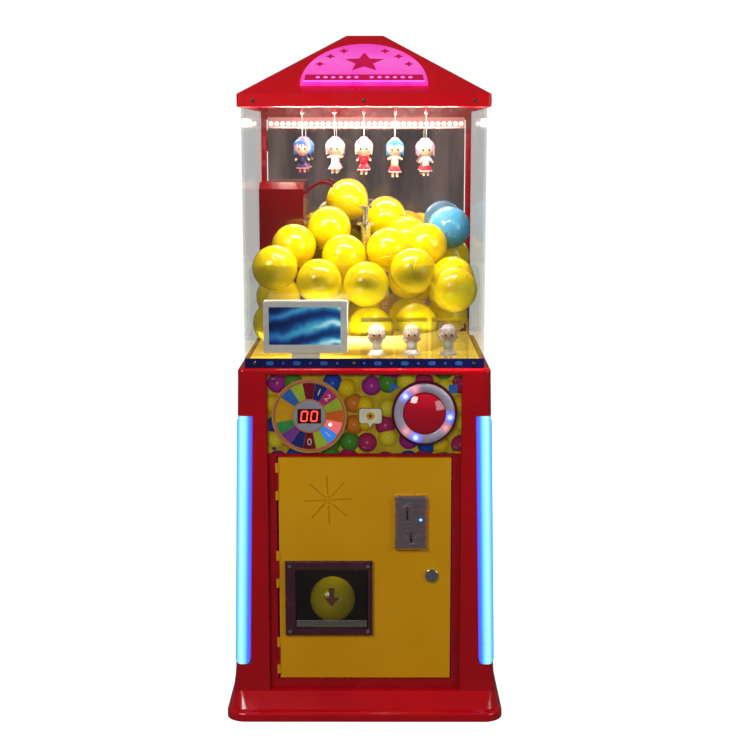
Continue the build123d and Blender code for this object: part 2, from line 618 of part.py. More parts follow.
# ---------------------------------------------------------------- capsule drive
with BuildPart() as turntable:
    with BuildSketch(level(DECK_Z + 1)):
        with Locations(ROTOR):
            Circle(190)
            Circle(11.5, mode=Mode.SUBTRACT)
        with Locations(*[(ROTOR[0] + POCKET_R * math.cos(math.radians(a)),
                          ROTOR[1] + POCKET_R * math.sin(math.radians(a))) for a in POCKET_ANGLES]):
            Circle(POCKET_D / 2, mode=Mode.SUBTRACT)
    extrude(amount=40)
    with BuildSketch(level(DECK_Z + 1)):
        with Locations(ROTOR):
            Circle(186)
            Circle(26, mode=Mode.SUBTRACT)
        with Locations(*[(ROTOR[0] + POCKET_R * math.cos(math.radians(a)),
                          ROTOR[1] + POCKET_R * math.sin(math.radians(a))) for a in POCKET_ANGLES]):
            Circle(POCKET_D / 2 + 3, mode=Mode.SUBTRACT)
    extrude(amount=36, mode=Mode.SUBTRACT)
save(turntable, "turntable")

with BuildPart() as agitator:
    rod_z(ROTOR[0], ROTOR[1], 722, 1050, 11.5)
    rod_z(ROTOR[0], ROTOR[1], 1050, 1055, 20)
    rod_z(ROTOR[0], ROTOR[1], 1055, 1088, 6)
    rod_z(ROTOR[0], ROTOR[1], 1088, 1093, 16)
save(agitator, "agitator")


def involute_tooth(teeth, module, thin):
    """Outline points of one tooth, centred on +X."""
    rp = module * teeth / 2
    rb = rp * math.cos(math.radians(20))
    ra, rf = rp + 0.85 * module, rp - 1.15 * module
    inv = math.tan(math.radians(20)) - math.radians(20)
    half = math.pi / (2 * teeth) - thin / (2 * rp)
    flank = []
    for i in range(6):
        r = max(rb, rf) + (ra - max(rb, rf)) * i / 5
        a = math.acos(min(1.0, rb / r))
        flank.append((r, half + inv - (math.tan(a) - a)))
    pts = [((rf - 1) * math.cos(flank[0][1]), -(rf - 1) * math.sin(flank[0][1]))]
    pts += [(r * math.cos(t), -r * math.sin(t)) for r, t in flank]
    pts += [(r * math.cos(t), r * math.sin(t)) for r, t in reversed(flank)]
    pts += [((rf - 1) * math.cos(flank[0][1]), (rf - 1) * math.sin(flank[0][1]))]
    return pts


with BuildPart() as drive_gear:
    with BuildSketch(Plane(origin=(ROTOR[0], ROTOR[1], 735))):
        Circle(MODULE * GEAR_T / 2 - 1.15 * MODULE)
        with PolarLocations(0, GEAR_T):
            Polygon(*involute_tooth(GEAR_T, MODULE, 0.25), align=None)
        Circle(11.5, mode=Mode.SUBTRACT)
        with PolarLocations(37, 6):
            Circle(11, mode=Mode.SUBTRACT)
    extrude(amount=14)
    with BuildSketch(Plane(origin=(ROTOR[0], ROTOR[1], 725))):
        Circle(20)
        Circle(11.5, mode=Mode.SUBTRACT)
    extrude(amount=12)
save(drive_gear, "drive_gear")

with BuildPart() as pinion:
    # the tooth gap of the pinion faces the gear tooth on the line of centres
    with BuildSketch(Plane(origin=(ROTOR[0] + GEAR_C, ROTOR[1], 734))):
        Circle(MODULE * PINION_T / 2 - 1.15 * MODULE)
        with PolarLocations(0, PINION_T, start_angle=180 / PINION_T + 180):
            Polygon(*involute_tooth(PINION_T, MODULE, 0.25), align=None)
    extrude(amount=16)
    rod_z(ROTOR[0] + GEAR_C, ROTOR[1], 690, 734, 5)
save(pinion, "pinion")

MX, MY = ROTOR[0] + GEAR_C, ROTOR[1]
with BuildPart() as gear_motor:
    block(MX - 45, MX + 45, MY - 45, MY + 45, 700, 722)
    rod_z(MX, MY, 590, 700, 34)
    with BuildSketch(level(722)):
        with Locations((MX, MY - 55), (MX, MY + 55), (MX + 50, MY)):
            Rectangle(24, 24)
    extrude(amount=4)
    block(MX - 12, MX + 12, MY - 67, MY + 67, 716, 726)
    block(MX, MX + 62, MY - 12, MY + 12, 716, 726)
    for x, y in ((MX, MY - 58), (MX, MY + 58), (MX + 52, MY)):
        rod_z(x, y, 726, GLASS_Z0, 5)
    rod_z(MX, MY, 685, 730, 5.06, mode=Mode.SUBTRACT)
save(gear_motor, "gear_motor")

with BuildPart() as chute_hood:
    # tall housing beside the outlet, and a low cover over the outlet itself
    with BuildSketch(side(-247)):
        with BuildLine():
            Polyline((84, DECK_Z), (84, 1130), (112, 1145), (239, 1145), (239, DECK_Z), close=True)
        make_face()
    extrude(amount=103)
    block(-145, -5, 88, 239, 880, 1048)
    # curved deflector at the top
    with BuildSketch(front(116)):
        with BuildLine():
            Spline((-145, 1122), (-126, 1136), (-107, 1146), (-88, 1146), (-75, 1136))
            Line((-75, 1136), (-76, 1131))
            Spline((-76, 1131), (-89, 1140), (-106, 1140), (-124, 1130), (-145, 1115))
            Line((-145, 1115), (-145, 1122))
        make_face()
    extrude(amount=32)
    # hollow inside
    block(-244, -147, 87, 236, DECK_Z - 1, 1126, mode=Mode.SUBTRACT)
    block(-148, -8, 85, 236, DECK_Z - 1, 1045, mode=Mode.SUBTRACT)
    # the rotor passes under the walls
    with BuildSketch(level(DECK_Z - 1)):
        with Locations(ROTOR):
            Circle(194)
    extrude(amount=104, mode=Mode.SUBTRACT)
save(chute_hood, "chute_hood")

# prize chute: upright tube, sloping duct and the box behind the prize window
DUCT_TOP = (OUTLET[0], OUTLET[1], 640.0)
DUCT_LOW = (OUTLET[0], -150.0, 270.0)
dv = Vector(*DUCT_LOW) - Vector(*DUCT_TOP)
duct_plane = Plane(origin=DUCT_TOP, x_dir=(1, 0, 0), z_dir=dv.normalized())
duct_plane_up = Plane(origin=DUCT_TOP, x_dir=(1, 0, 0), z_dir=(-1 * dv).normalized())
with BuildPart() as prize_chute:
    rod_z(OUTLET[0], OUTLET[1], 640, GLASS_Z0, 58)
    with Locations(DUCT_TOP):
        Sphere(58)
    with BuildSketch(duct_plane):
        Circle(58)
    extrude(amount=dv.length)
    block(-162, 15, -252, -105, 181, 350)
    rod_z(OUTLET[0], OUTLET[1], 640, GLASS_Z0 + 1, 55, mode=Mode.SUBTRACT)
    with Locations(DUCT_TOP):
        Sphere(55, mode=Mode.SUBTRACT)
    with BuildSketch(duct_plane):
        Circle(55)
    extrude(amount=dv.length - 3, mode=Mode.SUBTRACT)
    block(-159, 12, -260, -108, 184, 347, mode=Mode.SUBTRACT)
save(prize_chute, "prize_chute")

with BuildPart() as coin_box:
    block(48, 172, -215, -70, 16, 150)
    block(50, 170, -213, -72, 18, 160, mode=Mode.SUBTRACT)
    block(75, 145, -219, -215, 100, 112)
    block(80, 140, -226, -219, 100, 104)
save(coin_box, "coin_box")

with BuildPart() as electronics:
    # power supply on the floor, control board on the back panel
    block(-240, -60, -40, 60, 16, 66)
    fillet(electronics.edges().filter_by(Axis.Z), 3)
    block(60, 220, 250, 252, 400, 520)
    block(80, 120, 240, 250, 420, 450)
    block(150, 200, 238, 250, 470, 505)
    block(75, 95, 236, 250, 480, 510)
    for x, z in ((66, 406), (214, 406), (66, 514), (214, 514)):
        rod_y(x, z, 252, 262, 3)
save(electronics, "electronics")

# ---------------------------------------------------------------- ledge display
with BuildPart() as video_screen:
    block(-215, -35, -237, -223, 794, 907)
    fillet(video_screen.edges().filter_by(Axis.Y), 5)
    fillet(video_screen.faces().sort_by(Axis.Y)[0].edges(), 2)
    block(-203, -50, -240, -235.6, 812, 893, mode=Mode.SUBTRACT)
    # foot
    with BuildSketch(side(-155)):
        with BuildLine():
            Polyline((-238, DECK_Z), (-238, 781), (-230, 796), (-224, 796), (-206, 784), (-192, 781), (-192, DECK_Z),
                     close=True)
        make_face()
    extrude(amount=60)
save(video_screen, "video_screen")

BOXES = [(-8, 60), (67, 135), (143, 221)]
with BuildPart() as display_boxes:
    for x0, x1 in BOXES:
        block(x0, x1, -240, -174, DECK_Z, 864)
        block(x0 + 2, x1 - 2, -238, -176, DECK_Z - 1, 862, mode=Mode.SUBTRACT)
save(display_boxes, "display_boxes")

FIGURES = [26.0, 101.0, 180.0]
with BuildPart() as display_figures:
    for x in FIGURES:
        with BuildSketch(Plane(origin=(x, -206, 0), x_dir=(1, 0, 0), z_dir=(0, -1, 0))):
            with BuildLine():
                Polyline((0, DECK_Z), (14, DECK_Z), (14, 780), (8, 783), (10, 800), (8, 816), (0, 818), close=True)
            make_face()
        revolve(axis=Axis((x, -206, 0), (0, 0, 1)))
        with Locations((x, -206, 833)):
            Sphere(18)
save(display_figures, "display_figures")

EYELET_Z = 1306.9          # centre of the ring that hangs in the ceiling eyelet
TOYS = [(-150, 1247, 1166), (-74, 1247, 1164), (-5, 1247, 1161), (69, 1245, 1155), (142, 1244, 1158)]
for i, (tx, ztop, zbot) in enumerate(TOYS):
    with BuildPart() as hanging_toy:
        with Locations((tx, 165, ztop - 21)):
            Sphere(21)
        with Locations((tx, 165, zbot)):
            Cone(15, 19, 16, align=(Align.CENTER, Align.CENTER, Align.MIN))
        with Locations((tx, 165, zbot + 16)):
            Cone(19, 9, ztop - 34 - zbot - 16, align=(Align.CENTER, Align.CENTER, Align.MIN))
        rod_z(tx, 165, ztop - 5, 1303.3, 0.8)
        with Locations(Location((tx, 165, EYELET_Z), (90, 0, 0))):
            Torus(3.4, 0.8)
    save(hanging_toy, f"hanging_toy_{i + 1}")

# ---------------------------------------------------------------- capsules: each is a cup and a lid
R = CAPSULE_D / 2
TILT = [(20, 35, 0), (75, 10, 40), (-40, 60, 10), (5, -30, 80), (60, -50, 20), (-15, 80, 5)]


RI = R - CAPSULE_WALL
Q = math.cos(math.pi / 4)
with BuildPart() as capsule_cup:
    with BuildSketch(Plane.XZ):
        with BuildLine():
            ThreePointArc((R, 0), (R * Q, -R * Q), (0, -R))
            Line((0, -R), (0, -RI))
            ThreePointArc((0, -RI), (RI * Q, -RI * Q), (RI, 0))
            Line((RI, 0), (R, 0))
        make_face()
    revolve(axis=Axis.Z)
with BuildPart() as capsule_lid:
    with BuildSketch(Plane.XZ):
        with BuildLine():
            ThreePointArc((R, 0), (R * Q, R * Q), (0, R))
            Line((0, R), (0, RI))
            ThreePointArc((0, RI), (RI * Q, RI * Q), (RI, 0))
            Line((RI, 0), (R, 0))
        make_face()
    revolve(axis=Axis.Z)


def capsule_halves(centres):
    out = []
    for i, c in enumerate(centres):
        loc = Location(c, TILT[i % len(TILT)])
        out.append(capsule_cup.part.moved(loc))
        out.append(capsule_lid.part.moved(loc))
    return out


POCKET_CENTRES = [(ROTOR[0] + POCKET_R * math.cos(math.radians(a)), ROTOR[1] + POCKET_R * math.sin(math.radians(a)),
                   DECK_Z + 0.4 + R) for a in POCKET_ANGLES]
for name, centres in (("yellow_capsules", YELLOW), ("blue_capsule", [BLUE]), ("pocket_capsules", POCKET_CENTRES)):
    halves = Compound(children=capsule_halves(centres))
    halves.label = name
    export_step(halves, f"parts/{name}.step")

print("parts written:", len(os.listdir("parts")))
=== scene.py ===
import bpy
import json
import math
import random
from mathutils import Euler, Matrix, Vector


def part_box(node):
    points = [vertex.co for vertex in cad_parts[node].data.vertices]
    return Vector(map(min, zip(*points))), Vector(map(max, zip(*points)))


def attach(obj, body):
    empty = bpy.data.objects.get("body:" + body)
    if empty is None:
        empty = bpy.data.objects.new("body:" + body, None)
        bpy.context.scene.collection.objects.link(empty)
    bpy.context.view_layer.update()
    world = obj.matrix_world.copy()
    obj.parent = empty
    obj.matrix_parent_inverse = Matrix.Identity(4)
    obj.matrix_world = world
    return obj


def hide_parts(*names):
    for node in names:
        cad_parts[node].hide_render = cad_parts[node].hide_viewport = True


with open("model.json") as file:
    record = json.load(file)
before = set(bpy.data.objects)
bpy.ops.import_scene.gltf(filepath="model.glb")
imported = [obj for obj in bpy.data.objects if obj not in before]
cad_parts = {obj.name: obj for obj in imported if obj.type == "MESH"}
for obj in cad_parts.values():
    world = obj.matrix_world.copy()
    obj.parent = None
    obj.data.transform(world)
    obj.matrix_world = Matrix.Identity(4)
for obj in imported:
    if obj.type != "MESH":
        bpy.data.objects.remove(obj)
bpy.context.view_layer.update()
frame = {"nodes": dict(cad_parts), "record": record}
NODES = frame["nodes"]
RNG = random.Random(7)
MM = 0.001


# ------------------------------------------------------------------ materials
class Mat:
    """A Principled material whose colour, roughness and relief all vary over the surface."""

    def __init__(self, name):
        self.m = bpy.data.materials.new(name)
        self.m.use_nodes = True
        self.nt = self.m.node_tree
        self.nt.nodes.clear()
        self.out = self.add("ShaderNodeOutputMaterial")
        self.b = self.add("ShaderNodeBsdfPrincipled")
        self.link(self.b.outputs[0], self.out.inputs["Surface"])
        self.co = self.add("ShaderNodeTexCoord").outputs["Object"]

    def add(self, kind, **kw):
        n = self.nt.nodes.new(kind)
        for k, v in kw.items():
            setattr(n, k, v)
        return n

    def link(self, a, b):
        self.nt.links.new(a, b)

    def noise(self, scale, detail=3.0, stretch=None):
        src = self.co
        if stretch:
            mp = self.add("ShaderNodeMapping")
            mp.inputs["Scale"].default_value = stretch
            self.link(src, mp.inputs["Vector"])
            src = mp.outputs[0]
        n = self.add("ShaderNodeTexNoise")
        n.inputs["Scale"].default_value = scale
        n.inputs["Detail"].default_value = detail
        self.link(src, n.inputs["Vector"])
        return n.outputs[0]

    def span(self, value, lo, hi, a=0.3, b=0.7):
        r = self.add("ShaderNodeMapRange")
        r.inputs[1].default_value = a
        r.inputs[2].default_value = b
        r.inputs[3].default_value = lo
        r.inputs[4].default_value = hi
        self.link(value, r.inputs[0])
        return r.outputs[0]

    def math(self, op, a, b=0.0):
        n = self.add("ShaderNodeMath", operation=op)
        for i, v in enumerate((a, b)):
            if isinstance(v, (int, float)):
                n.inputs[i].default_value = v
            else:
                self.link(v, n.inputs[i])
        return n.outputs[0]

    def ramp(self, value, stops, mode="LINEAR"):
        r = self.add("ShaderNodeValToRGB")
        r.color_ramp.interpolation = mode
        els = r.color_ramp.elements
        while len(els) < len(stops):
            els.new(0.5)
        for e, (p, c) in zip(els, stops):
            e.position = p
            e.color = (*c, 1.0)
        self.link(value, r.inputs[0])
        return r.outputs[0]

    def mix(self, f, a, b, blend="MIX"):
        n = self.add("ShaderNodeMix", data_type="RGBA", blend_type=blend)
        for i, v in ((0, f), (6, a), (7, b)):
            if isinstance(v, (int, float)):
                n.inputs[i].default_value = v
            elif isinstance(v, tuple):
                n.inputs[i].default_value = (*v, 1.0)
            else:
                self.link(v, n.inputs[i])
        return n.outputs[2]

    def xyz(self):
        s = self.add("ShaderNodeSeparateXYZ")
        self.link(self.co, s.inputs[0])
        return s.outputs

    def near(self, point, r0, r1):
        """1 inside r0 of the point, falling to 0 at r1."""
        v = self.add("ShaderNodeVectorMath", operation="DISTANCE")
        self.link(self.co, v.inputs[0])
        v.inputs[1].default_value = point
        return self.span(v.outputs["Value"], 1.0, 0.0, r0, r1)

    def bump(self, value, strength, dist=0.0005):
        b = self.add("ShaderNodeBump")
        b.inputs["Strength"].default_value = strength
        b.inputs["Distance"].default_value = dist
        self.link(value, b.inputs["Height"])
        self.link(b.outputs[0], self.b.inputs["Normal"])


def shade(c, k):
    return tuple(max(0.0, min(1.0, x * k)) for x in c)


def surface(name, color, rough=0.3, metallic=0.0, vary=0.12, scale=9.0, relief=0.06,
            fine=260.0, coat=0.0, sss=0.0, stretch=None, emit=None, power=0.0, second=None):
    s = Mat(name)
    b = s.b.inputs
    tone = s.span(s.noise(scale, 4.0, stretch), 0.0, 1.0)
    base = s.mix(tone, shade(color, 1 - vary), second or shade(color, 1 + vary))
    s.link(base, b["Base Color"])
    s.link(s.span(s.noise(scale * 3.1, 5.0, stretch), rough * 0.8, min(1.0, rough * 1.25)), b["Roughness"])
    b["Metallic"].default_value = metallic
    b["Coat Weight"].default_value = coat
    b["Coat Roughness"].default_value = 0.05
    if sss:
        b["Subsurface Weight"].default_value = sss
        b["Subsurface Radius"].default_value = (0.02, 0.012, 0.004)
        b["Subsurface Scale"].default_value = 0.5
    if emit:
        s.link(s.mix(tone, shade(emit, 0.9), emit), b["Emission Color"])
        b["Emission Strength"].default_value = power
    s.bump(s.noise(fine, 2.0, stretch), relief)
    return s


def clear(name, tint, body, rough=0.02, gloss=0.8):
    """Thin clear sheet: light passes straight on, and the skin shines by Fresnel."""
    s = Mat(name)
    nt = s.nt
    nt.nodes.remove(s.b)
    tr = s.add("ShaderNodeBsdfTransparent")
    s.link(s.ramp(s.span(s.noise(5.0), 0.0, 1.0), [(0.0, shade(tint, 0.985)), (1.0, tint)]), tr.inputs[0])
    gl = s.add("ShaderNodeBsdfGlossy")
    s.link(s.span(s.noise(14.0), rough * 0.7, rough * 1.6), gl.inputs["Roughness"])
    fr = s.add("ShaderNodeFresnel")
    fr.inputs["IOR"].default_value = 1.45
    amount = s.math("ADD", fr.outputs[0], body)
    mx = s.add("ShaderNodeMixShader")
    s.link(s.math("MULTIPLY", amount, gloss), mx.inputs[0])
    s.link(tr.outputs[0], mx.inputs[1])
    s.link(gl.outputs[0], mx.inputs[2])
    s.link(mx.outputs[0], s.out.inputs["Surface"])
    return s


RED = (0.62, 0.0015, 0.008)
M = {}
M["red_shell"] = surface("red_shell", RED, 0.16, vary=0.08, relief=0.018, fine=60, coat=0.5)
M["red_panel"] = surface("red_panel", (0.5, 0.0015, 0.009), 0.24, vary=0.1, relief=0.02, fine=120, coat=0.3)
M["rubber_feet"] = surface("rubber_feet", (0.025, 0.025, 0.027), 0.75, vary=0.3, relief=0.3)
M["black_plastic"] = surface("black_plastic", (0.018, 0.018, 0.021), 0.5, vary=0.25, relief=0.25, fine=500)
M["blue_strip"] = surface("blue_strip", (0.006, 0.008, 0.1), 0.12, vary=0.2, coat=0.5)
M["dark_screws"] = surface("dark_screws", (0.42, 0.34, 0.29), 0.25, 1.0, vary=0.3, scale=60)
M["dark_red_bezel"] = surface("dark_red_bezel", (0.09, 0.003, 0.02), 0.22, vary=0.2, coat=0.4)
M["red_dome"] = surface("red_dome", (0.5, 0.003, 0.02), 0.08, vary=0.12, sss=0.15, coat=0.8, emit=(0.7, 0.005, 0.03), power=0.08)
M["yellow_door"] = surface("yellow_door", (0.95, 0.46, 0.0008), 0.42, vary=0.07, scale=4.0, relief=0.16, fine=420, coat=0.1)
M["zinc_steel"] = surface("zinc_steel", (0.55, 0.56, 0.58), 0.32, 1.0, vary=0.18, scale=30)
M["aubergine_metal"] = surface("aubergine_metal", (0.13, 0.045, 0.075), 0.3, 0.5, vary=0.25, scale=26, relief=0.2, fine=600)
M["bare_steel"] = surface("bare_steel", (0.62, 0.61, 0.59), 0.27, 1.0, vary=0.16, stretch=(1, 1, 30))
M["chrome_fittings"] = surface("chrome_fittings", (0.8, 0.8, 0.82), 0.1, 1.0, vary=0.12, scale=40)
M["coin_steel"] = surface("coin_steel", (0.72, 0.58, 0.64), 0.3, 1.0, vary=0.2, scale=40, stretch=(1, 1, 14), relief=0.25)
M["white_board"] = surface("white_board", (0.72, 0.62, 0.34), 0.3, vary=0.06, coat=0.2)
M["white_plastic"] = surface("white_plastic", (0.84, 0.83, 0.82), 0.26, vary=0.05, coat=0.2)
M["motor_metal"] = surface("motor_metal", (0.42, 0.43, 0.45), 0.42, 0.9, vary=0.2, relief=0.3, fine=700)
M["chute_plastic"] = surface("chute_plastic", (0.05, 0.035, 0.03), 0.4, vary=0.3)
M["figure_vinyl"] = surface("figure_vinyl", (0.9, 0.68, 0.56), 0.35, vary=0.06, sss=0.1)
M["toy_vinyl"] = surface("toy_vinyl", (0.8, 0.72, 0.75), 0.4, vary=0.1, sss=0.1)
# painted glow: the capsules are no lamp, and their small yellow emission brightens them as if lit
M["yellow_plastic"] = surface("yellow_plastic", (0.78, 0.6, 0.0), 0.14, vary=0.07, scale=14, relief=0.03, fine=40, sss=0.2, emit=(0.9, 0.68, 0.0), power=0.06, coat=0.8)
M["blue_plastic"] = surface("blue_plastic", (0.07, 0.33, 0.58), 0.13, vary=0.08, scale=14, relief=0.03, fine=40, sss=0.15, coat=0.6)
M["clear_glass"] = clear("clear_glass", (0.985, 1.0, 0.995), 0.0, 0.02, 0.42)
M["clear_acrylic"] = clear("clear_acrylic", (0.97, 0.985, 0.985), 0.03, 0.04)
M["rear_mirror"] = surface("rear_mirror", (0.62, 0.56, 0.54), 0.035, 1.0, vary=0.08, scale=3.0, relief=0.01, fine=20)
s = M["rear_mirror"]
# painted reflection: an emission of dark-to-brown streaks paints a dim room into the mirror face inside the case
painted_room_reflection = s.ramp(s.noise(5.0, 3.0, (4.0, 1.0, 0.7)), [(0.25, (0.012, 0.008, 0.01)), (0.5, (0.06, 0.036, 0.032)), (0.75, (0.16, 0.1, 0.085))])
s.link(painted_room_reflection, s.b.inputs["Emission Color"])
# only the face inside the case is a mirror: the outside is painted like the cabinet
outside = s.math("GREATER_THAN", s.xyz()[1], 0.2475)
s.link(s.math("MULTIPLY", s.math("SUBTRACT", 1.0, outside), 0.9), s.b.inputs["Emission Strength"])
s.link(s.math("SUBTRACT", 1.0, outside), s.b.inputs["Metallic"])
s.link(s.math("ADD", s.math("MULTIPLY", outside, 0.25), 0.035), s.b.inputs["Roughness"])
s.link(s.mix(outside, s.mix(s.noise(3.0), (0.57, 0.51, 0.5), (0.67, 0.6, 0.58)), s.mix(s.noise(9.0), (0.3, 0.001, 0.006), (0.38, 0.0015, 0.008))), s.b.inputs["Base Color"])

# the case's lid: red all over, with a painted pink-red glow on every face; the lid is no lamp, and its emission stands
# in for the light on it
s = surface("lid_painted_glow", (0.75, 0.02, 0.04), 0.25, vary=0.1, emit=(1.0, 0.03, 0.1), power=0.55)
M["lid_painted_glow"] = s

# light tubes: cyan-white core, blue and purple along the inner edge
s = Mat("light_diffuser")
x, y, z = s.xyz()
lean = s.math("ADD", s.math("MULTIPLY", s.math("SUBTRACT", 0.754, z), 0.0215625), 0.268)
across = s.math("DIVIDE", s.math("ADD", s.math("SUBTRACT", s.math("ABSOLUTE", x), lean), 0.033), 0.0342)
col = s.ramp(across, [(0.0, (0.12, 0.05, 0.8)), (0.2, (0.05, 0.2, 0.95)), (0.42, (0.2, 0.72, 0.96)), (0.66, (0.42, 0.86, 0.98)), (0.84, (0.14, 0.6, 0.95)), (1.0, (0.04, 0.25, 0.85))])
beads = s.span(s.math("SINE", s.math("MULTIPLY", z, 420.0)), 0.92, 1.0, -1.0, 1.0)
s.link(s.mix(1.0, col, s.mix(s.noise(30.0), (0.93, 0.93, 0.93), (1.0, 1.0, 1.0)), "MULTIPLY"), s.b.inputs["Emission Color"])
s.link(s.math("MULTIPLY", beads, 1.0), s.b.inputs["Emission Strength"])
s.link(col, s.b.inputs["Base Color"])
s.b.inputs["Roughness"].default_value = 0.2
M["light_diffuser"] = s

# sign lens: pink, hotter towards the bottom edge
s = Mat("sign_pink")
x, y, z = s.xyz()
up = s.span(z, 0.0, 1.0, 1.352, 1.445)
col = s.ramp(up, [(0.0, (0.9, 0.008, 0.55)), (0.2, (0.9, 0.05, 0.5)), (0.55, (0.9, 0.11, 0.62)), (1.0, (0.8, 0.04, 0.5))])
s.link(s.mix(s.span(s.noise(26.0), 0.0, 0.12), col, (1.0, 0.5, 0.75)), s.b.inputs["Emission Color"])
s.link(s.mix(0.6, col, (0.2, 0.01, 0.08)), s.b.inputs["Base Color"])
s.b.inputs["Emission Strength"].default_value = 0.85
s.b.inputs["Roughness"].default_value = 0.15
M["sign_pink"] = s

# lamp bar: white board at the back, lamps glow at the front
s = Mat("led_bar")
x, y, z = s.xyz()
lamp = s.math("LESS_THAN", y, 0.2329)
s.link(s.mix(s.noise(60.0), (0.4, 0.2, 0.19), (0.5, 0.28, 0.26)), s.b.inputs["Base Color"])
s.b.inputs["Emission Color"].default_value = (1.0, 0.93, 0.84, 1.0)
s.link(s.math("MULTIPLY", lamp, 7.0), s.b.inputs["Emission Strength"])
M["led_bar"] = s

# milky ring with three blue lamps behind it, each with a warmer one beside it
s = Mat("milky_ring")
BX, BZ = 0.1275, 0.670
base = s.mix(s.span(s.noise(30.0), 0.0, 1.0), (0.42, 0.37, 0.5), (0.6, 0.55, 0.68))
s.link(base, s.b.inputs["Base Color"])
glow = None  # lamps seen through the ring
for a, c in ((137, (0.02, 0.08, 1.0)), (-8, (0.02, 0.08, 1.0)), (-110, (0.02, 0.08, 1.0)), (112, (1.0, 0.15, 0.25)), (-34, (1.0, 0.2, 0.2)), (-136, (1.0, 0.2, 0.25))):
    p = (BX + 0.055 * math.cos(math.radians(a)), -0.2716, BZ + 0.055 * math.sin(math.radians(a)))
    g = s.mix(s.near(p, 0.001, 0.017), (0.0, 0.0, 0.0), shade(c, 1.0 if c[2] > 0.5 else 0.4))
    core = s.mix(s.near(p, 0.001, 0.008), (0.0, 0.0, 0.0), (0.45, 0.55, 1.0) if c[2] > 0.5 else (0.12, 0.08, 0.06))
    g = s.mix(1.0, g, core, "ADD")
    glow = g if glow is None else s.mix(1.0, glow, g, "ADD")
s.link(glow, s.b.inputs["Emission Color"])
s.b.inputs["Emission Strength"].default_value = 1.6
s.b.inputs["Roughness"].default_value = 0.2
M["milky_ring"] = s

# panel print: crowded shaded balls in bright colours
s = Mat("printed_panel")
x, y, z = s.xyz()
flat = s.add("ShaderNodeCombineXYZ")
s.link(x, flat.inputs[0])
s.link(z, flat.inputs[1])
vor = s.add("ShaderNodeTexVoronoi", voronoi_dimensions="2D")
vor.inputs["Scale"].default_value = 25.0
vor.inputs["Randomness"].default_value = 0.45
s.link(flat.outputs[0], vor.inputs["Vector"])
sep = s.add("ShaderNodeSeparateColor")
s.link(vor.outputs["Color"], sep.inputs[0])
hue = s.ramp(sep.outputs[0], [(0.0, (0.9, 0.62, 0.0)), (0.24, (0.5, 0.02, 0.12)), (0.38, (0.08, 0.3, 0.02)), (0.52, (0.85, 0.72, 0.02)),
                              (0.7, (0.01, 0.07, 0.5)), (0.8, (0.42, 0.02, 0.3)), (0.9, (0.75, 0.22, 0.01))], "CONSTANT")
edge = s.span(vor.outputs["Distance"], 1.0, 0.35, 0.25, 0.5)
ball = s.mix(1.0, hue, s.mix(edge, (0.25, 0.16, 0.08), (0.8, 0.8, 0.8)), "MULTIPLY")
back = s.mix(s.span(s.noise(38.0), 0.0, 1.0), (0.42, 0.27, 0.01), (0.62, 0.46, 0.015))
ball = s.mix(s.span(vor.outputs["Distance"], 0.0, 1.0, 0.53, 0.54), ball, back)
spot = s.span(vor.outputs["Distance"], 0.22, 0.0, 0.03, 0.1)
s.link(s.mix(spot, ball, (0.95, 0.9, 0.8)), s.b.inputs["Base Color"])
s.b.inputs["Roughness"].default_value = 0.22
s.b.inputs["Coat Weight"].default_value = 0.4
s.bump(s.noise(300.0), 0.04)
M["printed_panel"] = s

M["printed_wheel"] = surface("printed_wheel", (0.68, 0.46, 0.02), 0.22, vary=0.2, scale=14, coat=0.4, second=(0.7, 0.2, 0.12))

M["hood_red"] = surface("hood_red", (0.1, 0.002, 0.003), 0.2, vary=0.14, coat=0.4)
M["frame_red"] = surface("frame_red", (0.22, 0.002, 0.005), 0.26, vary=0.12, coat=0.3)
# painted glow: the roof canopy is no lamp, and its small red emission brightens it as if lit
M["bright_red_painted_glow"] = surface("bright_red_painted_glow", (0.95, 0.001, 0.01), 0.32, vary=0.06, relief=0.014, fine=60, coat=0.22, emit=(0.8, 0.0, 0.008), power=0.08)
# painted glow: the deck plate is no lamp, and its warm emission stands in for light on the ledge
M["deck_painted_glow"] = surface("deck_painted_glow", (0.75, 0.48, 0.04), 0.25, vary=0.16, scale=7, coat=0.3, emit=(1.0, 0.66, 0.07), power=0.62)
M["base_red"] = surface("base_red", (0.74, 0.001, 0.009), 0.17, vary=0.08, relief=0.018, fine=60, coat=0.5)
M["tray_cream"] = surface("tray_cream", (0.72, 0.5, 0.08), 0.3, vary=0.1, scale=12, relief=0.08, fine=300, coat=0.2)
OWN = {"ceiling_panel": "lid_painted_glow", "chute_hood": "hood_red", "rear_frame": "frame_red", "roof_canopy": "bright_red_painted_glow", "base_skirt": "base_red", "deck_plate": "deck_painted_glow", "turntable": "tray_cream"}
for row in frame["record"]["subparts"]:
    node, slot = row["node"], row["material_slot"]
    o = NODES[node]
    o.data.materials.clear()
    o.data.materials.append(M[OWN.get(node, slot)].m)


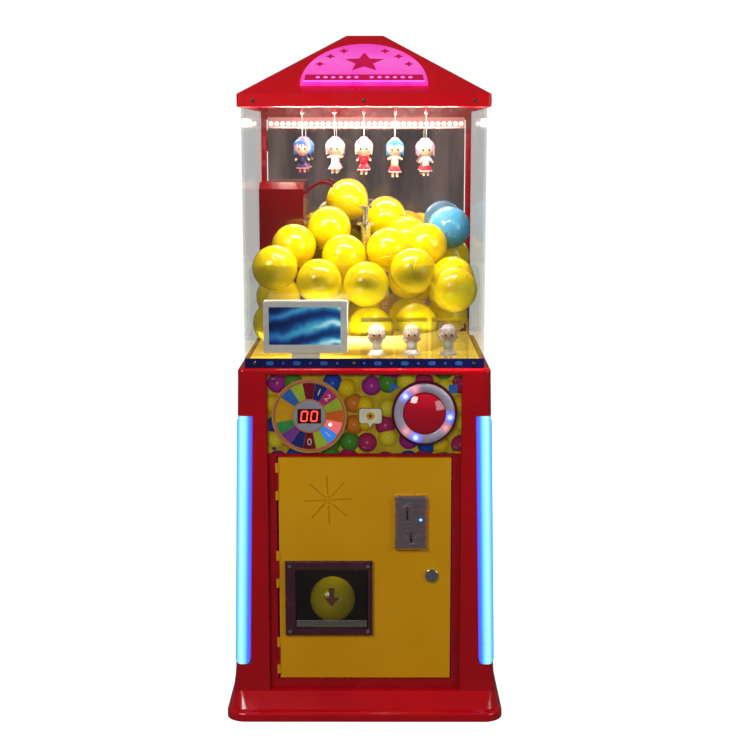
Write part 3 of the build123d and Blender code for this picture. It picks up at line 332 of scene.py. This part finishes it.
# ------------------------------------------------------------------ mesh building
class Build:
    """Collects rounded shapes into one mesh, with a material for each shape."""

    def __init__(self, name):
        self.name, self.v, self.f, self.mi, self.sm, self.mats = name, [], [], [], [], []

    def slot(self, mat):
        m = mat.m
        if m not in self.mats:
            self.mats.append(m)
        return self.mats.index(m)

    def put(self, verts, faces, mat, smooth=True):
        k, i = len(self.v), self.slot(mat)
        self.v += [tuple(p) for p in verts]
        for f in faces:
            self.f.append(tuple(k + j for j in f))
            self.mi.append(i)
            self.sm.append(smooth)

    def lathe(self, profile, mat, m=None, n=32, smooth=True):
        """profile is [(r, z)], turned round Z, then placed by the matrix m. Ends on the axis are closed to one point."""
        m = m or Matrix.Identity(4)
        rings, verts, faces = [], [], []
        for r, z in profile:
            if r < 1e-7:
                rings.append([len(verts)] * n)
                verts.append(m @ Vector((0, 0, z)))
            else:
                start = len(verts)
                for i in range(n):
                    a = 2 * math.pi * i / n
                    verts.append(m @ Vector((r * math.cos(a), r * math.sin(a), z)))
                rings.append([start + i for i in range(n)])
        for a, b in zip(rings, rings[1:]):
            for i in range(n):
                j = (i + 1) % n
                q = [a[i], a[j], b[j], b[i]]
                q = [p for k, p in enumerate(q) if p not in q[:k]]
                if len(q) > 2:
                    faces.append(q)
        self.put(verts, faces, mat, smooth)

    def ball(self, c, r, mat, n=24, rot=(0, 0, 0), cut=-90):
        """An ellipsoid of half-axes r; cut keeps the part above that latitude."""
        r = (r, r, r) if isinstance(r, (int, float)) else r
        m = Matrix.Translation(Vector(c)) @ Euler([math.radians(t) for t in rot]).to_matrix().to_4x4() @ Matrix.Diagonal((*r, 1))
        steps = max(6, n // 2)
        prof = []
        for i in range(steps + 1):
            t = math.radians(cut + (90 - cut) * i / steps)
            prof.append((max(0.0, math.cos(t)) if abs(abs(math.degrees(t)) - 90) > 1e-6 else 0.0, math.sin(t)))
        if cut > -90:
            prof.insert(0, (0.0, prof[0][1]))
        self.lathe(prof, mat, m, n)

    def limb(self, a, b, r0, r1, mat, n=14):
        """A tapered rod with rounded ends."""
        a, b = Vector(a), Vector(b)
        d = b - a
        m = Matrix.Translation(a) @ d.to_track_quat("Z", "Y").to_matrix().to_4x4()
        h = d.length
        prof = [(0.0, -r0)] + [(r0 * math.cos(t), r0 * math.sin(t)) for t in (-1.1, -0.6, 0.0)]
        prof += [(r1 * math.cos(t), h + r1 * math.sin(t)) for t in (0.0, 0.6, 1.1)] + [(0.0, h + r1)]
        self.lathe(prof, mat, m, n)

    def tube(self, pts, r, mat, n=8, closed=False):
        pts = [Vector(p) for p in pts]
        count, verts, faces = len(pts), [], []
        for i, p in enumerate(pts):
            nxt = pts[(i + 1) % count] if closed or i + 1 < count else p
            prv = pts[i - 1] if closed or i else p
            q = (nxt - prv).to_track_quat("Z", "Y")
            for k in range(n):
                a = 2 * math.pi * k / n
                verts.append(p + q @ Vector((r * math.cos(a), r * math.sin(a), 0)))
        for i in range(count if closed else count - 1):
            j = (i + 1) % count
            for k in range(n):
                l = (k + 1) % n
                faces.append((i * n + k, i * n + l, j * n + l, j * n + k))
        if not closed:
            faces.append(tuple(range(n - 1, -1, -1)))
            faces.append(tuple((count - 1) * n + k for k in range(n)))
        self.put(verts, faces, mat)

    def plate(self, outline, place, thick, mat):
        """A flat plate: outline in (u, v), placed by place(u, v, w), raised by thick."""
        k = len(outline)
        verts = [place(u, v, 0.0) for u, v in outline] + [place(u, v, thick) for u, v in outline]
        faces = [tuple(range(k - 1, -1, -1)), tuple(range(k, 2 * k))]
        faces += [(i, (i + 1) % k, k + (i + 1) % k, k + i) for i in range(k)]
        self.put(verts, faces, mat, False)

    def make(self, body, replaces=()):
        me = bpy.data.meshes.new(self.name)
        me.from_pydata(self.v, [], self.f)
        for m in self.mats:
            me.materials.append(m)
        me.polygons.foreach_set("material_index", self.mi)
        me.polygons.foreach_set("use_smooth", self.sm)
        me.update()
        o = bpy.data.objects.new(self.name, me)
        bpy.context.scene.collection.objects.link(o)
        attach(o, body)
        if replaces:
            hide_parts(*replaces)
        return o


def front(x0, z0, y):
    """Places a drawing on a face that looks along -Y."""
    return lambda u, v, w: (x0 + u, y - w, z0 + v)


def arc(r, a0, a1, n):
    return [(r * math.cos(math.radians(a0 + (a1 - a0) * i / n)), r * math.sin(math.radians(a0 + (a1 - a0) * i / n))) for i in range(n + 1)]


def disc(r, cx=0.0, cy=0.0, n=36):
    return [(cx + u, cy + v) for u, v in arc(r, 0, 360 * (n - 1) / n, n - 1)]


def star(r, k=0.42, n=5, cx=0.0, cy=0.0):
    out = []
    for i in range(2 * n):
        a = math.pi / 2 + math.pi * i / n
        q = r if i % 2 == 0 else r * k
        out.append((cx + q * math.cos(a), cy + q * math.sin(a)))
    return out


# ------------------------------------------------------------------ capsules
CAP_R = 0.05


def capsule_profile():
    p = [(0.0, -CAP_R + 0.0004), (0.0012, -CAP_R + 0.0004), (0.0016, -CAP_R + 0.00004)]
    for i in range(1, 20):
        t = math.radians(-88 + 86 * i / 19)
        p.append((CAP_R * math.cos(t), CAP_R * math.sin(t)))
    p += [(CAP_R, -0.0012), (CAP_R - 0.0009, -0.0006), (CAP_R - 0.0009, 0.0004), (CAP_R - 0.0003, 0.0010)]
    for i in range(0, 20):
        t = math.radians(2.2 + 85.8 * i / 19)
        p.append(((CAP_R - 0.0002) * math.cos(t), (CAP_R - 0.0002) * math.sin(t)))
    p += [(0.0, CAP_R - 0.0002)]
    return p


PILE = [(-197.1, -113.1, 965.4), (-160.5, -28.7, 1006.4), (-100.9, -113.1, 935.7), (-83, 33.5, 1043.1), (-47.3, -43.5, 984.9),
        (2.6, -113.1, 929.3), (52.5, -36.6, 998.7), (105.2, -113.1, 959.7), (197.1, -113.1, 918.4), (136.6, 18.2, 1006.6),
        (48, 189.1, 1056.2), (97.6, 110.5, 1017.5), (-45, 189.1, 1099.1), (197.1, -13.4, 932.6), (197.1, 165.2, 969.1),
        (-197.1, -112, 843.4), (100.6, 68.6, 926), (-68.8, 22.6, 912), (195, 183, 827.5), (-197, -21, 891.5), (195, 87, 895.5),
        (119, 187, 907.5), (-72, -188, 234.4)]
BLUE = [(194.2, 94.1, 1040.8)]
POCKETS = [(126 * math.cos(math.radians(155 + 60 * i)), 40 + 126 * math.sin(math.radians(155 + 60 * i)), 827.4) for i in range(6)]
PROFILE = capsule_profile()
for name, centres, slot, body, node in (("capsules_loose", PILE, "yellow_plastic", "cabinet", "yellow_capsules"),
                                        ("capsule_blue", BLUE, "blue_plastic", "cabinet", "blue_capsule"),
                                        ("capsules_in_pockets", POCKETS, "yellow_plastic", "rotor", "pocket_capsules")):
    b = Build(name)
    for c in centres:
        rot = Euler((RNG.uniform(-1.4, 1.4), RNG.uniform(-1.4, 1.4), RNG.uniform(0, 6.28))).to_matrix().to_4x4()
        b.lathe(PROFILE, M[slot], Matrix.Translation(Vector(c) * MM) @ rot, 56)
    b.make(body, [node])

# ------------------------------------------------------------------ toys and display figures
SKIN = surface("skin", (0.88, 0.6, 0.47), 0.4, vary=0.05, sss=0.15)
EYE = surface("eye_dark", (0.03, 0.02, 0.035), 0.12, vary=0.3, coat=0.8)
BLUSH = surface("blush", (0.85, 0.3, 0.27), 0.5, vary=0.08)
WHITE = surface("cloth_white", (0.85, 0.84, 0.82), 0.7, vary=0.06, relief=0.3)
STRING = surface("string_white", (0.88, 0.87, 0.84), 0.75, vary=0.1, relief=0.5, fine=1500)
TONES = {
    "blue": (0.04, 0.17, 0.72), "sky": (0.03, 0.33, 0.8), "navy": (0.02, 0.02, 0.09), "pink": (0.85, 0.22, 0.4), "red": (0.7, 0.01, 0.03),
    "lilac": (0.6, 0.45, 0.74), "pale": (0.86, 0.72, 0.74), "white": (0.85, 0.85, 0.86), "beige": (0.78, 0.68, 0.52), "peach": (0.88, 0.52, 0.42), "mist": (0.66, 0.55, 0.62), "sand": (0.72, 0.5, 0.36), "blush_pale": (0.95, 0.8, 0.78)}
TONE = {k: surface("tone_" + k, v, 0.45, vary=0.14, scale=60, relief=0.12) for k, v in TONES.items()}


def figure(b, x, y, zbot, ztop, head_r, hair, top, skirt, trim, arms=-0.5, full=1.0):
    """A small large-headed figure of plain design between zbot and ztop."""
    hz = ztop - head_r - 0.001
    k = head_r / 0.021
    neck = hz - head_r * 0.86
    height = neck - zbot
    b.ball((x, y, hz), (head_r * 0.93, head_r * 0.86, head_r * 0.88), SKIN, 28)
    # hair: cap, fringe and side locks
    b.ball((x, y + 0.0016 * k, hz + 0.001 * k), (head_r, head_r * 0.97, head_r * 0.99), hair, 28, rot=(-24, 0, 0), cut=6)
    b.ball((x, y + 0.006 * k, hz - 0.002 * k), (head_r * 0.97, head_r * 0.72, head_r * 0.92), hair, 24)
    for i, a in enumerate((-52, -27, -3, 22, 49)):
        t = math.radians(a)
        root = (x + head_r * 0.62 * math.sin(t), y - head_r * 0.66 * math.cos(t), hz + head_r * 0.55)
        tip = (x + head_r * 0.86 * math.sin(t), y - head_r * 0.8 * math.cos(t) - 0.0006, hz + head_r * (0.16 if i % 2 else 0.06))
        b.limb(root, tip, 0.0046 * k, 0.0012 * k, hair, 10)
    for side in (-1, 1):
        b.limb((x + side * head_r * 0.8, y, hz + head_r * 0.25), (x + side * head_r * 0.88, y - 0.003 * k, hz - head_r * 0.75), 0.0042 * k, 0.0014 * k, hair, 10)
        ex = x + side * head_r * 0.33
        b.ball((ex, y - head_r * 0.79, hz - head_r * 0.14), (0.0024 * k, 0.0012 * k, 0.0036 * k), EYE, 14)
        b.ball((ex + 0.0007 * k, y - head_r * 0.845, hz - head_r * 0.06), (0.0008 * k, 0.0006 * k, 0.001 * k), WHITE, 8)
        b.ball((x + side * head_r * 0.52, y - head_r * 0.66, hz - head_r * 0.4), (0.0022 * k, 0.001 * k, 0.0013 * k), BLUSH, 10)
    b.ball((x, y - head_r * 0.82, hz - head_r * 0.44), (0.0015 * k, 0.0006 * k, 0.0005 * k), BLUSH, 8)
    # body, skirt with a trimmed hem, arms and legs
    waist = zbot + height * 0.55
    b.lathe([(0.0, waist - 0.004), (0.0085 * k * full, waist - 0.003), (0.0078 * k * full, waist + height * 0.2), (0.0052 * k * full, neck + 0.001), (0.0, neck + 0.003)], top, Matrix.Translation((x, y, 0)), 22)
    hem = zbot + height * 0.24
    b.lathe([(0.0, hem + 0.001), (0.0142 * k * full, hem), (0.0146 * k * full, hem + 0.0012), (0.0118 * k * full, hem + height * 0.16), (0.0078 * k * full, waist), (0.0, waist + 0.001)], skirt, Matrix.Translation((x, y, 0)), 26)
    ring = [(x + 0.0145 * k * full * (1 + 0.03 * (i % 2)) * math.cos(2 * math.pi * i / 28), y + 0.0145 * k * full * (1 + 0.03 * (i % 2)) * math.sin(2 * math.pi * i / 28), hem + 0.0008) for i in range(28)]
    b.tube(ring, 0.0011 * k, trim, 6, True)
    b.tube([(x + 0.0058 * k * math.cos(2 * math.pi * i / 18), y + 0.0058 * k * math.sin(2 * math.pi * i / 18), neck) for i in range(18)], 0.0014 * k, trim, 6, True)
    for side in (-1, 1):
        sh = (x + side * 0.0066 * k * full, y, neck - 0.0025 * k)
        hand = (x + side * 0.0155 * k * (0.4 + 0.6 * full), y - 0.002 * k, neck - 0.0025 * k + arms * 0.012 * k)
        mid = tuple((p * 0.45 + q * 0.55) for p, q in zip(sh, hand))
        b.limb(sh, mid, 0.0033 * k * full, 0.0031 * k * full, top, 12)
        b.limb(mid, hand, 0.0022 * k * full, 0.0025 * k * full, SKIN, 12)
        lx = x + side * 0.0052 * k
        foot = zbot + 0.0024 * k
        b.limb((lx, y, hem + 0.003), (lx, y, foot + 0.0035), 0.0029 * k * full, 0.0026 * k * full, SKIN, 12)
        b.ball((lx, y - 0.0018 * k, foot), (0.0032 * k, 0.0048 * k, 0.0024 * k), trim, 14)


TOYS = [(-150, 1247, 1166, "blue", "navy", "navy", "pink", -0.7), (-74, 1247, 1164, "white", "white", "white", "pale", -0.2),
        (-5, 1247, 1161, "pale", "red", "red", "white", -0.8), (69, 1245, 1155, "sky", "beige", "red", "white", -0.4),
        (142, 1244, 1158, "lilac", "white", "red", "white", -0.9)]
for i, (x, top, bot, hair, shirt, skirt, trim, arms) in enumerate(TOYS):
    b = Build(f"toy_{i + 1}_figure")
    X, Y = x * MM, 0.165
    figure(b, X, Y, bot * MM, top * MM, 0.021, TONE[hair], TONE[shirt], TONE[skirt], TONE[trim], arms)
    if i == 0:
        b.limb((X + 0.009, Y - 0.0155, top * MM - 0.008), (X + 0.0125, Y - 0.0165, top * MM - 0.021), 0.0026, 0.001, TONE["pink"], 10)
    for a in (-1, 1):
        b.ball((X + a * 0.0045, Y - 0.001, top * MM - 0.0005), (0.0048, 0.002, 0.003), TONE[trim], 12, rot=(0, a * 22, 0))
    b.tube([(X, Y, top * MM - 0.003), (X + 0.0004, Y, top * MM + 0.02), (X, Y, 1.3033)], 0.0008, STRING, 8)
    b.ball((X, Y, 1.3022), (0.0016, 0.0016, 0.0018), STRING, 10)
    b.tube([(X + 0.0034 * math.cos(2 * math.pi * k / 24), Y, 1.3069 + 0.0034 * math.sin(2 * math.pi * k / 24)) for k in range(24)], 0.0008, M["chrome_fittings"], 8, True)
    b.make(f"toy_{i + 1}", [f"hanging_toy_{i + 1}"])

b = Build("display_dolls")
for x, hair, shirt, skirt, raise_ in ((26, "mist", "blush_pale", "blush_pale", 0.9), (101, "sand", "blush_pale", "blush_pale", 0.5), (180, "mist", "white", "blush_pale", 1.1)):
    lo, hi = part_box("display_figures")
    figure(b, x * MM, -0.206, lo.z, 0.853, 0.0185, TONE[hair], TONE[shirt], TONE[skirt], TONE["white"], raise_, 1.5)
    b.ball((x * MM, -0.206, 0.8475), (0.0028, 0.0028, 0.003), TONE[hair], 12)
b.make("cabinet", ["display_figures"])

# ------------------------------------------------------------------ number wheel
PAINT = {
    "maroon": (0.22, 0.005, 0.02), "navy": (0.015, 0.03, 0.2), "magenta": (0.6, 0.03, 0.22), "lime": (0.45, 0.6, 0.04), "orange": (0.85, 0.16, 0.02),
    "blue": (0.03, 0.16, 0.55), "purple": (0.22, 0.06, 0.36), "green": (0.05, 0.33, 0.08), "amber": (0.75, 0.38, 0.01), "grey": (0.4, 0.41, 0.47),
    "cream": (0.9, 0.84, 0.6), "ink": (0.02, 0.02, 0.025)}
INK = {k: surface("print_" + k, v, 0.22, vary=0.12, scale=40, coat=0.35, relief=0.03) for k, v in PAINT.items()}
LIT = surface("print_lit", (0.8, 0.12, 0.1), 0.2, vary=0.1, emit=(1.0, 0.2, 0.25), power=0.5)
LITB = surface("print_lit_blue", (0.03, 0.2, 0.8), 0.2, vary=0.1, emit=(0.05, 0.3, 1.0), power=0.45)
LAMP = surface("lamp_spot", (1.0, 0.95, 0.9), 0.2, vary=0.04, emit=(1.0, 0.95, 0.9), power=5.0)
WX, WZ = -0.117, 0.6635
order = ["maroon", "navy", "magenta", "lime", "orange", LIT, LITB, "lime", "maroon", "navy", "purple", "green", "amber", "amber", "blue", "lime"]
b = Build("wheel_print")
for i, c in enumerate(order):
    mid = 90 - 22.5 * i
    outline = arc(0.0715, mid - 11, mid + 11, 8) + arc(0.0368, mid + 10.7, mid - 10.7, 5)
    b.plate(outline, front(WX, WZ, -0.26405), 0.00025, INK[c] if isinstance(c, str) else c)
for r, mat in ((0.0731, INK["amber"]), (0.0745, INK["magenta"])):
    b.tube([(WX + r * math.cos(2 * math.pi * k / 72), -0.2641, WZ + r * math.sin(2 * math.pi * k / 72)) for k in range(72)], 0.0005, mat, 6, True)
b.plate(disc(0.0335), front(WX, WZ, -0.26525), 0.0002, INK["grey"])
b.ball((WX + 0.048 * math.cos(math.radians(-22.5)), -0.2645, WZ + 0.048 * math.sin(math.radians(-22.5))), (0.0032, 0.0009, 0.0032), LAMP, 16)
b.make("cabinet")


def digit(text, size, place, mat, body, name):
    cu = bpy.data.curves.new(name, "FONT")
    cu.body, cu.size, cu.extrude, cu.align_x, cu.align_y = text, size, 0.0001, "CENTER", "CENTER"
    tmp = bpy.data.objects.new(name + "_tmp", cu)
    bpy.context.scene.collection.objects.link(tmp)
    bpy.context.view_layer.update()
    me = bpy.data.meshes.new_from_object(tmp.evaluated_get(bpy.context.evaluated_depsgraph_get()))
    bpy.data.objects.remove(tmp)
    me.transform(place)
    me.materials.clear()
    me.materials.append(mat.m)
    o = bpy.data.objects.new(name, me)
    bpy.context.scene.collection.objects.link(o)
    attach(o, body)
    return o


STAND = Matrix.Rotation(math.radians(90), 4, "X")
for k, (i, t) in enumerate(((1, "1"), (2, "2"), (6, "1"), (8, "0"))):
    a = math.radians(90 - 22.5 * i)
    spin = Matrix.Rotation(math.radians(22.5 * i), 4, "Y")
    at = Matrix.Translation((WX + 0.055 * math.cos(a), -0.26445, WZ + 0.055 * math.sin(a)))
    digit(t, 0.021, at @ spin @ STAND, INK["cream"], "cabinet", f"wheel_number_{k + 1}")

# counter window: two seven-segment zeros
SEG = surface("segment_lit", (1.0, 0.05, 0.03), 0.3, vary=0.06, emit=(1.0, 0.05, 0.03), power=3.2)
SEG_OFF = surface("segment_off", (0.12, 0.008, 0.008), 0.3, vary=0.2)
WINDOW = surface("counter_window", (0.09, 0.004, 0.006), 0.1, vary=0.25, coat=0.6)
b = Build("counter_digits")
b.plate([(-0.0245, -0.015), (0.0245, -0.015), (0.0245, 0.015), (-0.0245, 0.015)], front(WX, WZ, -0.26605), 0.0002, WINDOW)
for cx in (-0.0105, 0.0105):
    w, h, t = 0.0062, 0.0105, 0.0013
    bars = [((-w, h), (w, h)), ((w, h), (w, 0)), ((w, 0), (w, -h)), ((w, -h), (-w, -h)), ((-w, -h), (-w, 0)), ((-w, 0), (-w, h)), ((-w, 0), (w, 0))]
    for n, ((x0, z0), (x1, z1)) in enumerate(bars):
        if z0 == z1:
            a, c = min(x0, x1) + t, max(x0, x1) - t
            out = [(a, z0 - t), (c, z0 - t), (c + t * 0.8, z0), (c, z0 + t), (a, z0 + t), (a - t * 0.8, z0)]
        else:
            a, c = min(z0, z1) + t, max(z0, z1) - t
            out = [(x0 + t, a), (x0 + t, c), (x0, c + t * 0.8), (x0 - t, c), (x0 - t, a), (x0, a - t * 0.8)]
        b.plate([(u + cx + 0.12 * v, v) for u, v in out], front(WX, WZ, -0.2663), 0.0002, SEG_OFF if n == 6 else SEG)
b.make("cabinet")

# ------------------------------------------------------------------ panel signs: start triangle, stop square, coin label
b = Build("panel_signs")
b.plate([(-0.009, -0.01), (0.012, 0.0), (-0.009, 0.01)], front(0.063, 0.7255, -0.2611), 0.0003, INK["blue"])
b.plate([(-0.009, -0.009), (0.009, -0.009), (0.009, 0.009), (-0.009, 0.009)], front(0.188, 0.722, -0.2611), 0.0003, INK["blue"])
label = arc(0.006, 0, 90, 5)
box = [(0.018 + u, 0.011 + v) for u, v in arc(0.006, 0, 90, 5)] + [(-0.018 + u, 0.011 + v) for u, v in arc(0.006, 90, 180, 5)]
box += [(-0.018 + u, -0.009 + v) for u, v in arc(0.006, 180, 270, 5)] + [(-0.006, -0.015), (-0.001, -0.023), (0.005, -0.015)]
box += [(0.018 + u, -0.009 + v) for u, v in arc(0.006, 270, 360, 5)]
b.plate([(u * 1.06, v * 1.08) for u, v in box], front(0.013, 0.662, -0.2611), 0.0002, INK["ink"])
b.plate(box, front(0.013, 0.662, -0.26125), 0.0002, INK["cream"])
b.plate(disc(0.0085, 0, 0.001), front(0.013, 0.662, -0.2614), 0.0002, INK["amber"])
b.plate(star(0.0055, cy=0.001), front(0.013, 0.662, -0.26155), 0.0002, INK["maroon"])
b.make("cabinet")

# strip under the glass: plain pattern of capsules and diamonds
b = Build("strip_pattern")
for i in range(15):
    cx = -0.2 + 0.4 * i / 14
    if abs(cx + 0.022) < 0.008:
        continue
    if i % 2:
        b.plate([(-0.0035, 0), (0, -0.0035), (0.0035, 0), (0, 0.0035)], front(cx, 0.776, -0.25705), 0.0002, INK["blue"])
    else:
        b.plate([(0.004 + u, v) for u, v in arc(0.0042, -90, 90, 8)] + [(-0.004 + u, v) for u, v in arc(0.0042, 90, 270, 8)], front(cx, 0.776, -0.25705), 0.0002, INK["blue"])
b.make("cabinet")

# ------------------------------------------------------------------ sign: band, star and dots on the slope
SL = math.atan2(131.5, 221)
CS, SN = math.cos(SL), math.sin(SL)


def slope(u, v, w):
    """u across, v up the slope, w out of the lens, in metres."""
    return (u, -0.262 + v * CS - (0.009 + w) * SN, 1.3355 + v * SN + (0.009 + w) * CS)


SIGN_RED = surface("sign_red", (0.4, 0.002, 0.03), 0.2, vary=0.15, emit=(0.7, 0.006, 0.1), power=0.5)
SIGN_EDGE = surface("sign_edge", (1.0, 0.2, 0.75), 0.2, vary=0.1, emit=(1.0, 0.12, 0.75), power=1.8)
b = Build("sign_motif")


def rim(v):
    return 0.132 * math.sqrt(max(0.0, 1 - ((v - 0.033) / 0.170) ** 2))


v0, v1 = 0.0405, 0.064
b.plate([(-rim(v0) + 0.008, v0), (rim(v0) - 0.008, v0), (rim(v1) - 0.008, v1), (-rim(v1) + 0.008, v1)], slope, 0.0004, SIGN_RED)
b.plate([(-0.126, 0.0345), (0.126, 0.0345), (0.126, 0.0378), (-0.126, 0.0378)], slope, 0.0005, SIGN_EDGE)
for i in range(13):
    if i != 6:
        b.plate(disc(0.0042, -0.096 + 0.016 * i, (v0 + v1) / 2, 16), lambda u, v, w: slope(u, v, w + 0.0004), 0.0003, SIGN_EDGE)
b.plate(star(0.043, 0.45, 5, 0, 0.118), slope, 0.0006, SIGN_RED)
for a in (150, 132, 114, 66, 48, 30):
    t = math.radians(a)
    b.plate(star(0.011, 0.5, 4, 0.108 * math.cos(t), 0.040 + 0.140 * math.sin(t)), slope, 0.0004, SIGN_RED)
b.make("cabinet")

# ------------------------------------------------------------------ screen picture and the flap's arrow
s = Mat("screen_picture")
x, y, z = s.xyz()
u = s.span(x, 0.0, 1.0, -0.203, -0.05)
wave = s.add("ShaderNodeTexWave", wave_type="RINGS", rings_direction="SPHERICAL")
wave.inputs["Scale"].default_value = 9.0
wave.inputs["Distortion"].default_value = 6.0
wave.inputs["Detail"].default_value = 3.0
s.link(s.co, wave.inputs["Vector"])
pic = s.ramp(s.math("ADD", s.math("MULTIPLY", wave.outputs["Fac"], 0.6), s.math("MULTIPLY", u, 0.4)),
             [(0.0, (0.002, 0.006, 0.03)), (0.35, (0.006, 0.03, 0.13)), (0.6, (0.015, 0.09, 0.28)), (0.82, (0.05, 0.3, 0.42)), (1.0, (0.5, 0.75, 0.85))])
s.link(pic, s.b.inputs["Emission Color"])
s.link(pic, s.b.inputs["Base Color"])
s.b.inputs["Emission Strength"].default_value = 0.75
s.b.inputs["Roughness"].default_value = 0.12
b = Build("screen_picture")
b.plate([(-0.2025, 0.8125), (-0.0505, 0.8125), (-0.0505, 0.8925), (-0.2025, 0.8925)], lambda u, v, w: (u, -0.2357 - w, v), 0.0003, s)
b.make("cabinet")

b = Build("flap_arrow")
b.plate([(-0.006, 0.022), (-0.006, 0.0), (-0.016, 0.0), (0.0, -0.02), (0.016, 0.0), (0.006, 0.0), (0.006, 0.022)], front(-0.0715, 0.262, -0.26605), 0.0002, surface("flap_print", (0.16, 0.06, 0.03), 0.5, vary=0.25))
b.make("flap")

# status lamp of the coin acceptor
b = Build("coin_lamp")
b.ball((0.12075, -0.2712, 0.438), (0.0028, 0.0014, 0.0028), surface("lamp_blue", (0.1, 0.3, 1.0), 0.2, vary=0.1, emit=(0.05, 0.25, 1.0), power=6.0), 18)
b.make("front_door")


# ------------------------------------------------------------------ lights, floor and camera
def area(name, loc, aim, size, power, color=(1, 1, 1), size_y=None, seen=False):
    d = bpy.data.lights.new(name, "AREA")
    d.energy, d.color, d.size = power, color, size
    if size_y:
        d.shape, d.size_y = "RECTANGLE", size_y
    o = bpy.data.objects.new(name, d)
    o.location = loc
    o.rotation_euler = (Vector(aim) - Vector(loc)).to_track_quat("-Z", "Y").to_euler()
    o.visible_camera = False
    o.visible_transmission = False
    o.visible_glossy = seen
    bpy.context.scene.collection.objects.link(o)


WARM = (1.0, 0.9, 0.76)
area("case_top", (0, -0.02, 1.312), (0, -0.02, 0.8), 0.40, 3.1, WARM, 0.36)
area("case_back", (0, 0.226, 1.283), (0, -0.14, 0.98), 0.44, 1.8, WARM, 0.02, True)
area("case_front", (0, -0.244, 1.296), (0, -0.10, 0.93), 0.46, 2.1, (1.0, 0.95, 0.82), 0.008, True)
area("ledge_light", (0.06, -0.245, 0.905), (0.07, -0.2, 0.80), 0.42, 1.1, (1.0, 0.95, 0.85), 0.02)
area("case_low", (0.0, -0.172, 0.806), (0.0, -0.05, 0.93), 0.46, 1.2, (1.0, 0.93, 0.74), 0.012)
area("prize_box_light", (-0.07, -0.17, 0.343), (-0.07, -0.19, 0.2), 0.1, 0.02, WARM, 0.05)
area("studio_key", (-1.6, -2.6, 2.6), (0, 0, 0.7), 1.2, 46, (1.0, 0.98, 0.96), None, True)
area("studio_fill", (2.4, -2.0, 1.4), (0, 0, 0.7), 1.4, 18, (0.96, 0.98, 1.0), None, True)
area("studio_rear", (0.6, 2.4, 2.3), (0, 0, 0.9), 1.4, 18)

world = bpy.data.worlds.new("studio")
bpy.context.scene.world = world
world.use_nodes = True
world.node_tree.nodes["Background"].inputs[0].default_value = (0.9, 0.86, 0.87, 1.0)
world.node_tree.nodes["Background"].inputs[1].default_value = 0.09


def staged(name, verts, faces, mat):
    me = bpy.data.meshes.new(name)
    me.from_pydata(verts, [], faces)
    me.materials.append(mat.m)
    o = bpy.data.objects.new(name, me)
    bpy.context.scene.collection.objects.link(o)
    o.visible_glossy = o.visible_diffuse = False
    return o


pale = surface("floor_pale", (0.6, 0.6, 0.6), 0.9, vary=0.004, scale=2.0, relief=0.0, emit=(0.9, 0.9, 0.9), power=0.9)
staged("floor", [(-12, -12, -0.0004), (12, -12, -0.0004), (12, 12, -0.0004), (-12, 12, -0.0004)], [(0, 1, 2, 3)], pale)
sky = surface("backdrop_pale", (0.0, 0.0, 0.0), 1.0, vary=0.01, scale=0.4, relief=0.0, emit=(0.97, 0.97, 0.97), power=1.0)
for m, v in ((pale, 1.12), (sky, 1.01)):
    for l in list(m.b.inputs["Emission Color"].links):
        m.nt.links.remove(l)
    m.b.inputs["Emission Color"].default_value = (v, v, v, 1.0)
ringv = [(11.5 * math.cos(math.tau * i / 48), 11.5 * math.sin(math.tau * i / 48), z) for z in (-0.001, 9.0) for i in range(48)]
staged("backdrop", ringv, [(i, (i + 1) % 48, 48 + (i + 1) % 48, 48 + i) for i in range(48)], sky)

cam = bpy.data.cameras.new("camera")
cam.lens, cam.sensor_width = 67.7, 36.0
co = bpy.data.objects.new("camera", cam)
co.location = (0.0295, -3.2048, 1.2410)
co.rotation_euler = (math.radians(80.56), 0.0, math.radians(0.134))
bpy.context.scene.collection.objects.link(co)
bpy.context.scene.camera = co
bpy.context.scene.view_settings.view_transform = "Standard"
bpy.context.scene.cycles.transparent_max_bounces = 40
